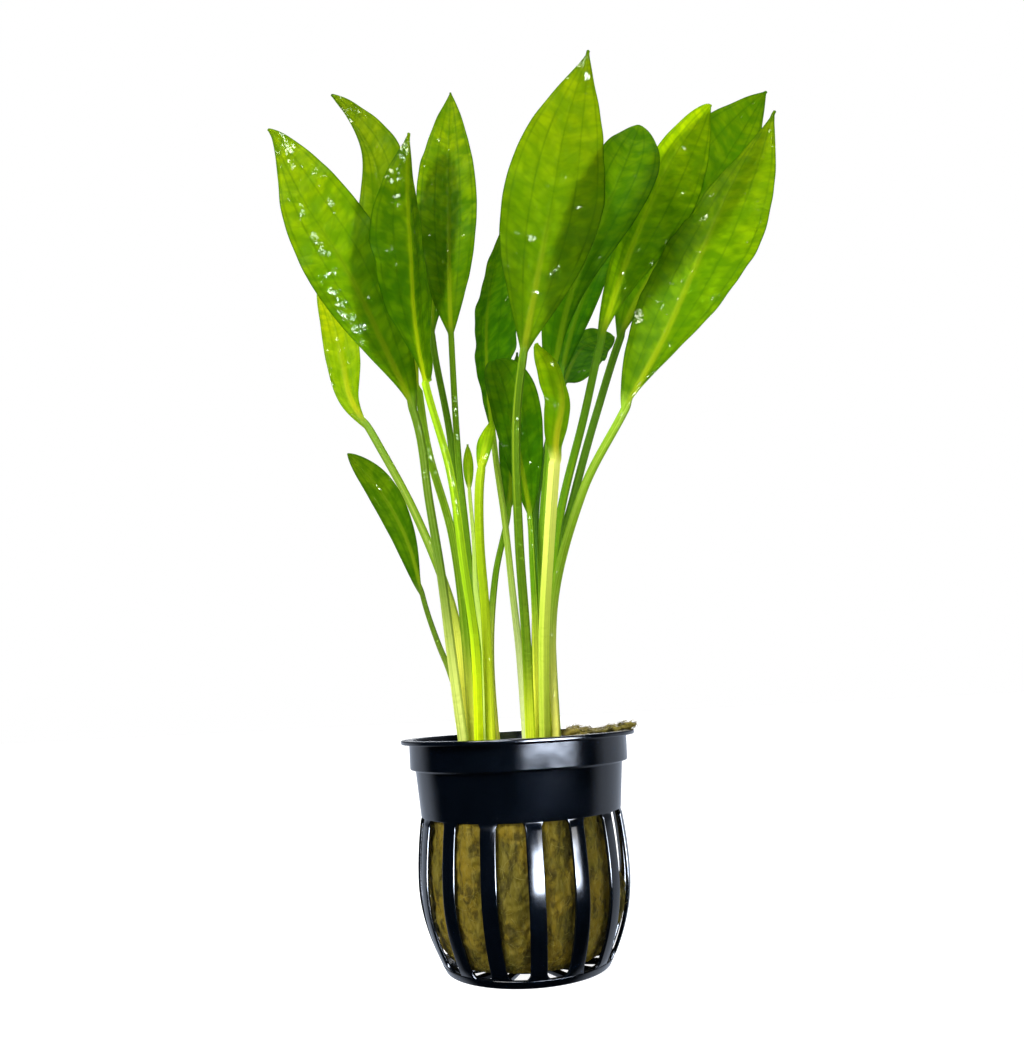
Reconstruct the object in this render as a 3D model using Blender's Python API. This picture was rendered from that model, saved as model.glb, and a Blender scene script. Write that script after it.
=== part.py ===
"""Amazon sword plant in a net pot: the moulded pot, the rockwool plug and twenty leaves.

Units: every driving dimension is in millimetres and is turned into metres by MM.
Frame: +Z is up, +X is to the right and the front of the plant faces -Y.
The origin is the centre of the pot's underside.

Two plantlets share the pot, so the leaves rise from two crowns, and each crown sits in a
planting hole in the plug. A leaf is one solid, because its stalk and blade grew as one.
"""
from collections import namedtuple
from math import cos, pi, radians, sin

import bmesh
import bpy
from mathutils import Vector
from mathutils.geometry import interpolate_bezier

MM = 0.001

# ---- pot -------------------------------------------------------------------------
RIM_HEIGHT = 48.7
FLANGE_RADIUS = 26.5
FLANGE_THICKNESS = 0.9
FLANGE_LIP = 23.9            # inner radius of the rim's top face
COLLAR_TOP_RADIUS = 24.7
COLLAR_FOOT_RADIUS = 24.6
COLLAR_FOOT_HEIGHT = 42.3
BAND_TOP_RADIUS = 23.4
SLOT_TOP_RADIUS = 22.4
SLOT_TOP_HEIGHT = 32.0
BELLY_RADIUS = 23.4          # where the ribs bulge most
BELLY_HEIGHT = 19.0
FOOT_RADIUS = 17.9
FOOT_RING_HEIGHT = 1.7
FLOOR_THICKNESS = 1.2
FLOOR_RING_INNER = 15.8
SPOKE_WIDTH = 1.5
HUB_RADIUS = 8.0
WALL = 1.0
RIB_THICKNESS = 0.8
RIB_WIDTH = 3.4
RIBS = 15
RIB_PITCH = 2 * pi / RIBS
FIRST_RIB = radians(5.9)     # measured from the front (-Y) towards the right (+X)
RIB_STEPS = 7

# ---- rockwool plug ---------------------------------------------------------------
PLUG_CENTRE_X = -0.5         # the wool leans on the left ribs and stands clear of the right
PLUG_BOTTOM = 2.6
PLUG_TOP = 44.0
PLUG_TOP_RADIUS = 20.3
# the plug's side from its bottom up: radius, and height as a share of the plug's height
PLUG_SIDE = ((16.8, 0.0), (18.5, 0.06), (20.4, 0.2), (21.6, 0.42), (21.0, 0.6),
             (PLUG_TOP_RADIUS, 0.75), (PLUG_TOP_RADIUS, 1.0))
PLUG_CROWN_RINGS = (0.88, 0.7, 0.45, 0.2)    # rings of the top face, as shares of its radius
PLUG_EDGE_DROP = 1.5         # how far the top is rounded off at its edge
PLUG_RAISED_TOP = 49.0       # on the right the wool stands above the rim
PLUG_RISE_FROM_X = 8.0
PLUG_RISE_TO_X = 13.0
PLUG_SIDES = 36
HOLE_FLOOR = 37.0
HOLE_SIDES = 20

# ---- crowns and leaves -----------------------------------------------------------
CROWN = {"left": (-8.6, -0.4), "right": (5.7, 0.0)}
HOLE_RADIUS = {"left": 6.2, "right": 6.0}
STALK_FOOT_HEIGHT = 37.5
BLADE_THICKNESS = 0.45
STALK_FLATTENING = 0.85      # a stalk's depth as a share of its width
MIDRIB_SINK = 0.45           # share of the stalk's depth that sinks into the blade
MIDRIB_TAPER = 0.6           # share of the stalk's width that the midrib loses by the tip
MIN_HALF_WIDTH = 0.25        # no ring of a leaf is narrower than this on either side
STALK_STEPS = 8
BLADE_STEPS = 10
SPLINE_STEPS = 12

# crown and spot: the crown, and the foot's place beside the crown's centre.
# route: the midrib from just above the rim to the tip, in order.
# blade: the blade's length, from the tip down.
# left, right: the two halves, as the front of the plant shows them. Each has its width, and
#   then how the width grows from the stalk and how it closes to the tip: 1, 1 is an even
#   oval, and a larger first number moves the widest place towards the tip.
# turn: degrees that the right half swings to the front, at the blade's start and its tip.
# fold: degrees that both halves rise to the front of the midrib; below 0, to the back.
# stalk: the stalk's width at its foot and where the blade starts.
Leaf = namedtuple("Leaf", "name crown spot route blade left right turn fold stalk")

LEAVES = (
    # left crown, front row to back row
    Leaf("leaf_left_big", "left", (-2.6, -2.8),
         ((-14, -4.5, 66), (-15.5, -8, 84.5), (-17.5, -11.5, 102), (-19.5, -15.5, 120),
          (-26, -19, 137), (-33.5, -23, 154), (-42.5, -26, 170), (-50, -28.5, 187)),
         75, (8.8, 1.94, 1.74), (10.7, 1.08, 0.8), (0, 10), 8, (2.4, 1.9)),
    Leaf("leaf_left_folded", "left", (-0.2, -3.8),
         ((-8.5, -7.5, 68), (-10, -14, 86), (-12, -19, 106.5), (-16.5, -24, 126), (-18, -28, 139),
          (-18, -32, 151.5), (-18, -35.5, 164.5), (-17, -38, 177.5)),
         54, (9.1, 1.53, 1.19), (9, 0.5, 1.2), (-33, -33), -40, (2.3, 1.8)),
    Leaf("leaf_left_curled", "left", (2.6, -2.6),
         ((-6, -3.5, 61), (-6, -5.5, 77), (-6.5, -7, 92.5), (-6, -8, 105.5), (-4.5, -6.5, 114.5),
          (-2.5, -3, 123)),
         16, (2.2, 1, 0.8), (2.2, 1, 0.8), (20, 20), 20, (2.3, 2.2)),
    Leaf("leaf_left_low", "left", (-3.7, 0.2),
         ((-13, -0.5, 56), (-15, -1.5, 64), (-17, -3, 69.5), (-19.5, -5.5, 78), (-22.5, -10, 92),
          (-27.5, -13.5, 103), (-35, -17, 112.5)),
         38, (3.4, 0.82, 0.73), (3.9, 1.78, 0.78), (0, 15), 12, (1.9, 1.2)),
    Leaf("leaf_left_tall", "left", (-1.4, -0.4),
         ((-11, 0.5, 71), (-13, -3.5, 95), (-17.5, -10, 114.5), (-19.5, -14, 133),
          (-22.5, -17.5, 151.5), (-24.5, -20.5, 168), (-27.5, -22.5, 184), (-36.5, -23.5, 199)),
         76, (10.7, 0.82, 2.05), (7.1, 1.4, 0.76), (-5, -5), 10, (2.3, 1.8)),
    Leaf("leaf_left_newest", "left", (1.1, -0.7),
         ((-6.5, -1, 66), (-8, -2.5, 82), (-8, -3.5, 94), (-8.5, -4.5, 105.5), (-8.5, -4.5, 117)),
         12, (1.3, 1, 0.9), (1.3, 1, 0.9), (0, 0), 15, (2.3, 0.9)),
    Leaf("leaf_left_yellow", "left", (-2.9, 2.6),
         ((-12.5, 4.5, 66.5), (-15, 8.5, 81.5), (-24, 15.5, 106), (-35, 20, 128.5),
          (-41, 22, 139.5), (-43.5, 24, 151.5), (-46, 25, 163.5), (-50.5, 25.5, 175)),
         50, (4.6, 0.94, 0.76), (5.5, 1.82, 1.09), (0, -10), 8, (2.3, 2.1)),
    Leaf("leaf_left_back", "left", (-0.4, 2.2),
         ((-10, 5, 71), (-12, 5, 95), (-13, 3, 121), (-16.5, 1.5, 147), (-16, 2.5, 160.5),
          (-15.5, 3, 173.5), (-14, 4, 187), (-11.5, 5, 200)),
         55, (4.5, 0.89, 0.57), (6.5, 1.2, 0.65), (0, 0), 10, (2.2, 1.7)),
    Leaf("leaf_left_inner", "left", (2.3, 2),
         ((-8.5, 1.5, 71), (-10, 0.5, 97), (-11, -1, 114), (-11.5, -3, 144.5),
          (-11.5, -1.5, 162.5), (-11, -0.5, 181), (-10.5, 1, 199.5), (-9.5, 2.5, 218)),
         74, (8.7, 1.06, 1.06), (7.4, 1.03, 0.94), (0, 0), 10, (2.2, 1.5)),
    Leaf("leaf_left_dark", "left", (4, -0.2),
         ((-5.5, 2, 65.5), (-3.5, 5.5, 86), (0.5, 9, 103), (2.5, 12.5, 122.5), (5, 15.5, 148)),
         47, (3.7, 1, 1), (3.7, 1, 1), (0, 0), 12, (2.1, 1.5)),

    # right crown, front row to back row
    Leaf("leaf_right_big", "right", (-2.9, -2.3),
         ((3, -8.5, 69.5), (2.5, -15.5, 91), (3, -22, 114.5), (5, -27, 128), (9, -30.5, 145),
          (13, -33, 161.5), (17, -36, 178.5), (23, -39, 195)),
         71, (11, 1.44, 1.38), (12, 1.37, 1.16), (-8, -12), -12, (2.3, 1.9)),
    Leaf("leaf_right_pale", "right", (0, -3),
         ((7, -8, 69.5), (9, -13, 89), (11, -18.5, 106), (12, -20.5, 113.5), (13.5, -22, 121),
          (12, -23.5, 128.5), (8.5, -21.5, 134.5)),
         31, (4.7, 1, 0.65), (4.2, 0.7, 0.8), (-36, -30), -34, (2.6, 2.8)),
    Leaf("leaf_right_outer", "right", (2.9, -2.3),
         ((9.5, -5, 76), (17.5, -11, 102), (27.5, -15, 119), (38, -18, 136), (47.5, -20.5, 154.5),
          (57, -21.5, 172.5), (68, -23, 189.5)),
         82, (10, 1, 1.56), (11.6, 1.96, 1.27), (0, 26), -16, (2.3, 2)),
    Leaf("leaf_right_low", "right", (-1.2, -0.4),
         ((5.5, -2.5, 74.5), (5.5, -4, 88.5), (5.5, -5, 98), (4.5, -6.5, 107), (3, -8.5, 116.5),
          (1.5, -10, 126), (-1, -11, 135.5)),
         39, (4.4, 0.82, 0.32), (7.4, 0.95, 0.42), (0, 0), 6, (2.2, 1.5)),
    Leaf("leaf_right_tall", "right", (1.2, -0.7),
         ((9, -1, 74.5), (12.5, -2, 98), (19.5, -8, 121.5), (24.5, -13, 139), (30, -16, 153.5),
          (36.5, -18, 167.5), (44, -19.5, 181), (54, -20, 194)),
         68, (5, 0.88, 0.51), (10.1, 2.03, 1.18), (0, -8), -8, (2.3, 1.9)),
    Leaf("leaf_right_side", "right", (3.1, 0.7),
         ((10, 3, 81.5), (16.5, 2, 104), (23, -2, 123.5), (31.5, -9, 145), (41, -12, 159.5),
          (51, -14, 173), (60, -15.5, 186.5), (69, -16, 200)),
         74, (14, 1.2, 1.02), (7.4, 1.45, 1.04), (0, -12), 8, (2.3, 1.9)),
    Leaf("leaf_right_narrow", "right", (-3.6, 0.6),
         ((1.5, 2, 65.5), (0.5, 2, 82), (-0.5, 1.5, 99), (-2, -0.5, 115), (-3, 1.5, 136.5),
          (-2, 6.5, 157.5), (3, 13, 184)),
         66, (5.2, 1, 0.9), (10.3, 1, 0.9), (46, 40), -10, (2, 1.6)),
    Leaf("leaf_right_bent", "right", (0.3, 2),
         ((7.5, 0.5, 79.5), (8, -2, 93), (11.5, -10, 120), (13, -17, 131.5), (17, -23, 145.5),
          (23.5, -27, 159), (30, -29, 172), (35, -27, 184.5)),
         72, (8.3, 1.2, 0.66), (8, 2.6, 0.69), (0, 0), 8, (2.2, 1.8)),
    Leaf("leaf_right_back", "right", (2.6, 3.2),
         ((9, 4.5, 79.5), (11.5, 5, 104.5), (14, 4, 127), (18, 2, 145), (25, 0, 161.5),
          (34.5, -2, 177.5)),
         47, (5, 1, 1), (3.9, 1, 1), (0, 0), 10, (2.1, 1.6)),
    Leaf("leaf_right_short", "right", (-2.2, 2.9),
         ((6, 5.5, 80), (8, 11.5, 106.5), (13.5, 16.5, 129), (17.5, 20.5, 140.5), (22, 27.5, 151),
          (27, 37.5, 158.5), (35.5, 45, 163.5)),
         39, (5.1, 0.85, 0.3), (8.1, 0.4, 0.72), (10, 10), 8, (2, 1.4)),
)


# ---- shared helpers --------------------------------------------------------------
def clear_scene():
    for item in list(bpy.data.objects):
        bpy.data.objects.remove(item)


def make_material(name, colour, roughness, metallic=0.0):
    material = bpy.data.materials.new(name)
    material.use_nodes = True
    shader = material.node_tree.nodes["Principled BSDF"]
    shader.inputs["Base Color"].default_value = (*colour, 1.0)
    shader.inputs["Roughness"].default_value = roughness
    shader.inputs["Metallic"].default_value = metallic
    return material


def add_object(name, mesh_builder, material):
    """Turn a closed bmesh in millimetres into a named object in metres."""
    bmesh.ops.recalc_face_normals(mesh_builder, faces=mesh_builder.faces)
    bmesh.ops.scale(mesh_builder, vec=(MM, MM, MM), verts=mesh_builder.verts)
    mesh = bpy.data.meshes.new(name)
    mesh_builder.to_mesh(mesh)
    mesh_builder.free()
    mesh.shade_smooth()
    mesh.set_sharp_from_angle(angle=radians(40))
    mesh.materials.append(material)
    item = bpy.data.objects.new(name, mesh)
    bpy.context.scene.collection.objects.link(item)
    return item


def around(radius, angle, height):
    """A point on a circle about the pot's axis, with the angle counted from the front."""
    return Vector((radius * sin(angle), -radius * cos(angle), height))


def ease(value, start, end):
    """0 before start, 1 after end and a smooth step between them."""
    share = min(max((value - start) / (end - start), 0.0), 1.0)
    return share * share * (3 - 2 * share)


# ---- the pot ---------------------------------------------------------------------
def rib_radius(height):
    """Outer radius of a rib: two parabolas that meet at the belly."""
    if height < BELLY_HEIGHT:
        share = (BELLY_HEIGHT - height) / BELLY_HEIGHT
        return BELLY_RADIUS - (BELLY_RADIUS - FOOT_RADIUS) * share ** 2
    share = (height - BELLY_HEIGHT) / (SLOT_TOP_HEIGHT - BELLY_HEIGHT)
    return BELLY_RADIUS - (BELLY_RADIUS - SLOT_TOP_RADIUS) * share ** 2


def pot_profile():
    """Stations from the hub's centre to the rim: outer (r, z), inner (r, z), open to the next."""
    stations = [
        ((0.0, 0.0), (0.0, FLOOR_THICKNESS), False),
        ((HUB_RADIUS, 0.0), (HUB_RADIUS, FLOOR_THICKNESS), True),
        ((FLOOR_RING_INNER, 0.0), (FLOOR_RING_INNER, FLOOR_THICKNESS), False),
        ((FOOT_RADIUS, 0.0), (FOOT_RADIUS - RIB_THICKNESS, FLOOR_THICKNESS), False),
    ]
    for step in range(RIB_STEPS + 1):
        height = FOOT_RING_HEIGHT + (SLOT_TOP_HEIGHT - FOOT_RING_HEIGHT) * step / RIB_STEPS
        radius = rib_radius(height)
        stations.append(((radius, height), (radius - RIB_THICKNESS, height), step < RIB_STEPS))
    band_top = COLLAR_FOOT_HEIGHT - 0.2
    flange_under = RIM_HEIGHT - FLANGE_THICKNESS
    stations += [
        ((BAND_TOP_RADIUS, band_top), (BAND_TOP_RADIUS - WALL, band_top), False),
        ((COLLAR_FOOT_RADIUS, COLLAR_FOOT_HEIGHT),
         (BAND_TOP_RADIUS - WALL, COLLAR_FOOT_HEIGHT + WALL), False),
        ((COLLAR_TOP_RADIUS, flange_under), (COLLAR_TOP_RADIUS - WALL, flange_under), False),
        ((FLANGE_RADIUS, flange_under), (COLLAR_TOP_RADIUS - WALL, RIM_HEIGHT - 0.4), False),
        ((FLANGE_RADIUS, RIM_HEIGHT), (FLANGE_LIP, RIM_HEIGHT), False),
    ]
    return stations


def rib_lines(radius):
    """Three angles a pitch: the edges of a rib or spoke, which keep its width, and the gap's
    middle."""
    width = RIB_WIDTH if radius > FLOOR_RING_INNER else SPOKE_WIDTH
    half = width / 2 / radius
    angles = []
    for rib in range(RIBS):
        centre = FIRST_RIB + rib * RIB_PITCH
        angles += [centre - half, centre + half, centre + RIB_PITCH / 2]
    return angles


def build_pot(material):
    """One moulded shell: floor hub, spokes, foot ring, ribs, band, collar and flange."""
    builder = bmesh.new()
    stations = pot_profile()
    columns = 3 * RIBS
    skins = ([], [])
    for outer, inner, _ in stations:
        for skin, (radius, height) in zip(skins, (outer, inner)):
            if radius == 0.0:
                skin.append([builder.verts.new((0.0, 0.0, height))] * columns)
            else:
                angles = rib_lines(radius)
                skin.append([builder.verts.new(around(radius, a, height)) for a in angles])

    def is_solid(row, column):
        if row < 0 or row >= len(stations) - 1:
            return False
        return column % 3 == 0 or not stations[row][2]

    def add_face(*corners):
        unique = list(dict.fromkeys(corners))
        if len(unique) > 2:
            builder.faces.new(unique)

    outer, inner = skins
    for row in range(len(stations) - 1):
        for column in range(columns):
            if not is_solid(row, column):
                continue
            near, far = column, (column + 1) % columns
            for skin in skins:
                add_face(skin[row][near], skin[row][far], skin[row + 1][far], skin[row + 1][near])
            if not is_solid(row, (column - 1) % columns):
                add_face(outer[row][near], outer[row + 1][near],
                         inner[row + 1][near], inner[row][near])
            if not is_solid(row, far):
                add_face(outer[row][far], outer[row + 1][far],
                         inner[row + 1][far], inner[row][far])
            if row > 0 and not is_solid(row - 1, column):
                add_face(outer[row][near], outer[row][far], inner[row][far], inner[row][near])
            if not is_solid(row + 1, column):
                add_face(outer[row + 1][near], outer[row + 1][far],
                         inner[row + 1][far], inner[row + 1][near])
    return add_object("net_pot", builder, material)


# ---- the rockwool plug -----------------------------------------------------------
def plug_top(x):
    """Height of the wool's top: low on the left and middle, above the rim on the right."""
    return PLUG_TOP + (PLUG_RAISED_TOP - PLUG_TOP) * ease(x, PLUG_RISE_FROM_X, PLUG_RISE_TO_X)


def build_plug(material):
    """A round plug with a rounded foot and a raised right side, drilled for the two crowns."""
    builder = bmesh.new()
    rings = []
    for radius, share in PLUG_SIDE:
        ring = []
        for step in range(PLUG_SIDES):
            spot = around(radius, 2 * pi * step / PLUG_SIDES, 0.0)
            spot.x += PLUG_CENTRE_X
            top = plug_top(spot.x) - PLUG_EDGE_DROP
            spot.z = PLUG_BOTTOM + (top - PLUG_BOTTOM) * share
            ring.append(builder.verts.new(spot))
        rings.append(ring)
    for share in PLUG_CROWN_RINGS:
        ring = []
        for step in range(PLUG_SIDES):
            spot = around(PLUG_TOP_RADIUS * share, 2 * pi * step / PLUG_SIDES, 0.0)
            spot.x += PLUG_CENTRE_X
            spot.z = plug_top(spot.x)
            ring.append(builder.verts.new(spot))
        rings.append(ring)
    for lower, upper in zip(rings, rings[1:]):
        for step in range(PLUG_SIDES):
            after = (step + 1) % PLUG_SIDES
            builder.faces.new((lower[step], lower[after], upper[after], upper[step]))
    builder.faces.new(rings[0])
    builder.faces.new(rings[-1])
    bmesh.ops.triangulate(builder, faces=builder.faces)
    plug = add_object("rockwool_plug", builder, material)
    for crown, (x, y) in CROWN.items():
        cutter = planting_hole(crown, x, y)
        cut = plug.modifiers.new("hole_" + crown, "BOOLEAN")
        cut.operation = "DIFFERENCE"
        cut.solver = "EXACT"
        cut.object = cutter
    return plug


def planting_hole(crown, x, y):
    """The cutter of one planting hole: a plain cylinder from the hole's floor upwards."""
    builder = bmesh.new()
    height = PLUG_RAISED_TOP + 5.0 - HOLE_FLOOR
    bmesh.ops.create_cone(builder, cap_ends=True, segments=HOLE_SIDES, depth=height,
                          radius1=HOLE_RADIUS[crown], radius2=HOLE_RADIUS[crown])
    bmesh.ops.translate(builder, verts=builder.verts, vec=(x, y, HOLE_FLOOR + height / 2))
    cutter = add_object("cutter_hole_" + crown, builder, make_material("cutter", (1, 0, 0), 1))
    cutter.hide_render = True
    cutter.display_type = "WIRE"
    return cutter


# ---- the leaves ------------------------------------------------------------------
def smooth_route(points):
    """A smooth curve through the points, as a fine polyline."""
    knots = [Vector(point) for point in points]
    slopes = []
    for index, knot in enumerate(knots):
        before = knots[max(index - 1, 0)]
        after = knots[min(index + 1, len(knots) - 1)]
        span = (knot - before).length + (after - knot).length
        slopes.append((after - before) / span)
    line = []
    for index in range(len(knots) - 1):
        start, end = knots[index], knots[index + 1]
        reach = (end - start).length / 3
        piece = interpolate_bezier(start, start + slopes[index] * reach,
                                   end - slopes[index + 1] * reach, end, SPLINE_STEPS)
        line += piece if index == len(knots) - 2 else piece[:-1]
    return line


def along(line, lengths, distance):
    """The place and the direction at a distance along a polyline."""
    index = 0
    while index < len(line) - 2 and lengths[index + 1] < distance:
        index += 1
    span = lengths[index + 1] - lengths[index]
    share = (distance - lengths[index]) / span
    return line[index].lerp(line[index + 1], share), (line[index + 1] - line[index]).normalized()


def half_width(half, share):
    """Width of one half of a blade at a share of the blade's length."""
    width, grow, close = half
    widest = grow / (grow + close)
    if share <= 0.0 or share >= 1.0:
        return 0.0
    return width * (share / widest) ** grow * ((1 - share) / (1 - widest)) ** close


def section(leaf, centre, direction, share, stalk_width):
    """Eight points around the leaf where the blade is at this share of its length."""
    turn = leaf.turn[0] + (leaf.turn[1] - leaf.turn[0]) * max(share, 0.0)
    side = Vector((0, 1, 0)).cross(direction).normalized()
    front = side.cross(direction).normalized()
    angle = radians(turn)
    across = side * cos(angle) + front * sin(angle)
    outward = front * cos(angle) - side * sin(angle)
    left, right = half_width(leaf.left, share), half_width(leaf.right, share)
    stalk_half = stalk_width / 2
    spread = ease((left + right) / 2, stalk_half * 0.6, stalk_half * 2.2)
    rib = stalk_half * STALK_FLATTENING * (1 - MIDRIB_SINK * spread)
    fold = radians(leaf.fold) * spread
    # halfway between the midrib and an edge: on a round stalk, or in the middle of a thin half
    middle = 0.7 - 0.2 * spread
    lift = rib * 0.7 * (1 - spread) + BLADE_THICKNESS / 2 * spread
    points = []
    for hand, half in ((-1, left), (1, right)):
        reach = max(half, stalk_half * (1 - spread), MIN_HALF_WIDTH)
        sheet = across * (hand * cos(fold)) + outward * sin(fold)
        points.append((centre + sheet * reach, centre + sheet * reach * middle))
    (left_edge, left_middle), (right_edge, right_middle) = points
    return (left_edge, left_middle + outward * lift, centre + outward * rib,
            right_middle + outward * lift, right_edge, right_middle - outward * lift,
            centre - outward * rib, left_middle - outward * lift)


def build_leaf(leaf, material):
    """A stalk and its blade as one closed loft, from a flat foot to a pointed tip."""
    crown_x, crown_y = CROWN[leaf.crown]
    foot = (crown_x + leaf.spot[0], crown_y + leaf.spot[1], STALK_FOOT_HEIGHT)
    line = smooth_route((foot,) + leaf.route)
    lengths = [0.0]
    for start, end in zip(line, line[1:]):
        lengths.append(lengths[-1] + (end - start).length)
    blade_start = lengths[-1] - leaf.blade
    stops = [blade_start * step / STALK_STEPS for step in range(STALK_STEPS)]
    stops += [blade_start + leaf.blade * step / BLADE_STEPS for step in range(BLADE_STEPS)]
    builder = bmesh.new()
    rings = []
    for stop in stops:
        centre, direction = along(line, lengths, stop)
        share = (stop - blade_start) / leaf.blade
        thinning = ease(stop, 0.0, blade_start)
        stalk_width = leaf.stalk[0] + (leaf.stalk[1] - leaf.stalk[0]) * thinning
        stalk_width *= 1 - MIDRIB_TAPER * max(share, 0.0)
        ring = section(leaf, centre, direction, share, stalk_width)
        rings.append([builder.verts.new(point) for point in ring])
    tip = builder.verts.new(line[-1])
    builder.faces.new(rings[0])
    for lower, upper in zip(rings, rings[1:]):
        for step in range(len(lower)):
            after = (step + 1) % len(lower)
            builder.faces.new((lower[step], lower[after], upper[after], upper[step]))
    for step in range(len(rings[-1])):
        after = (step + 1) % len(rings[-1])
        builder.faces.new((rings[-1][step], rings[-1][after], tip))
    bmesh.ops.triangulate(builder, faces=builder.faces)
    return add_object(leaf.name, builder, material)


def main():
    clear_scene()
    build_pot(make_material("black_polypropylene", (0.012, 0.016, 0.025), 0.25))
    build_plug(make_material("wet_rockwool", (0.16, 0.13, 0.035), 0.9))
    for leaf in LEAVES:
        green = make_material(leaf.name + "_tissue", (0.16, 0.36, 0.01), 0.3)
        build_leaf(leaf, green)


main()
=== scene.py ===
"""The looks of an amazon sword plant in a net pot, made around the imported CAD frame.

Units: metres, with +Z up and the front of the plant facing -Y; sizes given in millimetres in the
tables below are turned into metres by MM. Each leaf, the pot and the rockwool stand for the CAD
node of the same name.
"""
from collections import namedtuple
from math import ceil, cos, pi, radians, sin, sqrt

import bmesh
import bpy
import numpy as np
from bpy.props import FloatProperty, IntProperty, StringProperty
from mathutils import Matrix, Vector, noise


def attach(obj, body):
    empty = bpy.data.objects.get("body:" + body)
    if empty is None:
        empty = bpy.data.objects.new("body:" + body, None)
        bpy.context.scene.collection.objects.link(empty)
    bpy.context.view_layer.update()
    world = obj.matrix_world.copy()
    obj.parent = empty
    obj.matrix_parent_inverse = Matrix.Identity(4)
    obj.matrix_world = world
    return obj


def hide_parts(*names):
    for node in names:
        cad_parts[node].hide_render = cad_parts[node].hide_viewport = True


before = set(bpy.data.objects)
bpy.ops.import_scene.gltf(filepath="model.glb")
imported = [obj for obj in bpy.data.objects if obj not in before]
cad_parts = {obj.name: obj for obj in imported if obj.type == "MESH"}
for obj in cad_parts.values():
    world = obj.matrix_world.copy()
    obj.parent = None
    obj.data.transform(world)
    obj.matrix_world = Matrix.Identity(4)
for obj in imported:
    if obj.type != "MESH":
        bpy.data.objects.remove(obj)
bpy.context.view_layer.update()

bl_info = {
    "name": "Potted Sword Plant",
    "version": (1, 0, 0),
    "blender": (4, 5, 0),
    "location": "View3D > Sidebar > Sword Plant",
    "description": "Builds a net-potted amazon sword plant around its CAD frame",
    "category": "Object",
}

MM = 0.001

# ---- the plant: the same table as the CAD source ------------------------------------
# crown and spot: the crown, and the foot's place beside the crown's centre.
# route: the midrib from just above the rim to the tip, in order.
# blade: the blade's length, from the tip down.
# left, right: the two halves, as the front of the plant shows them. Each has its width, and
#   then how the width grows from the stalk and how it closes to the tip: 1, 1 is an even
#   oval, and a larger first number moves the widest place towards the tip.
# turn: degrees that the right half swings to the front, at the blade's start and its tip.
# fold: degrees that both halves rise to the front of the midrib; below 0, to the back.
# stalk: the stalk's width at its foot and where the blade starts.
Leaf = namedtuple("Leaf", "name crown spot route blade left right turn fold stalk")

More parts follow.
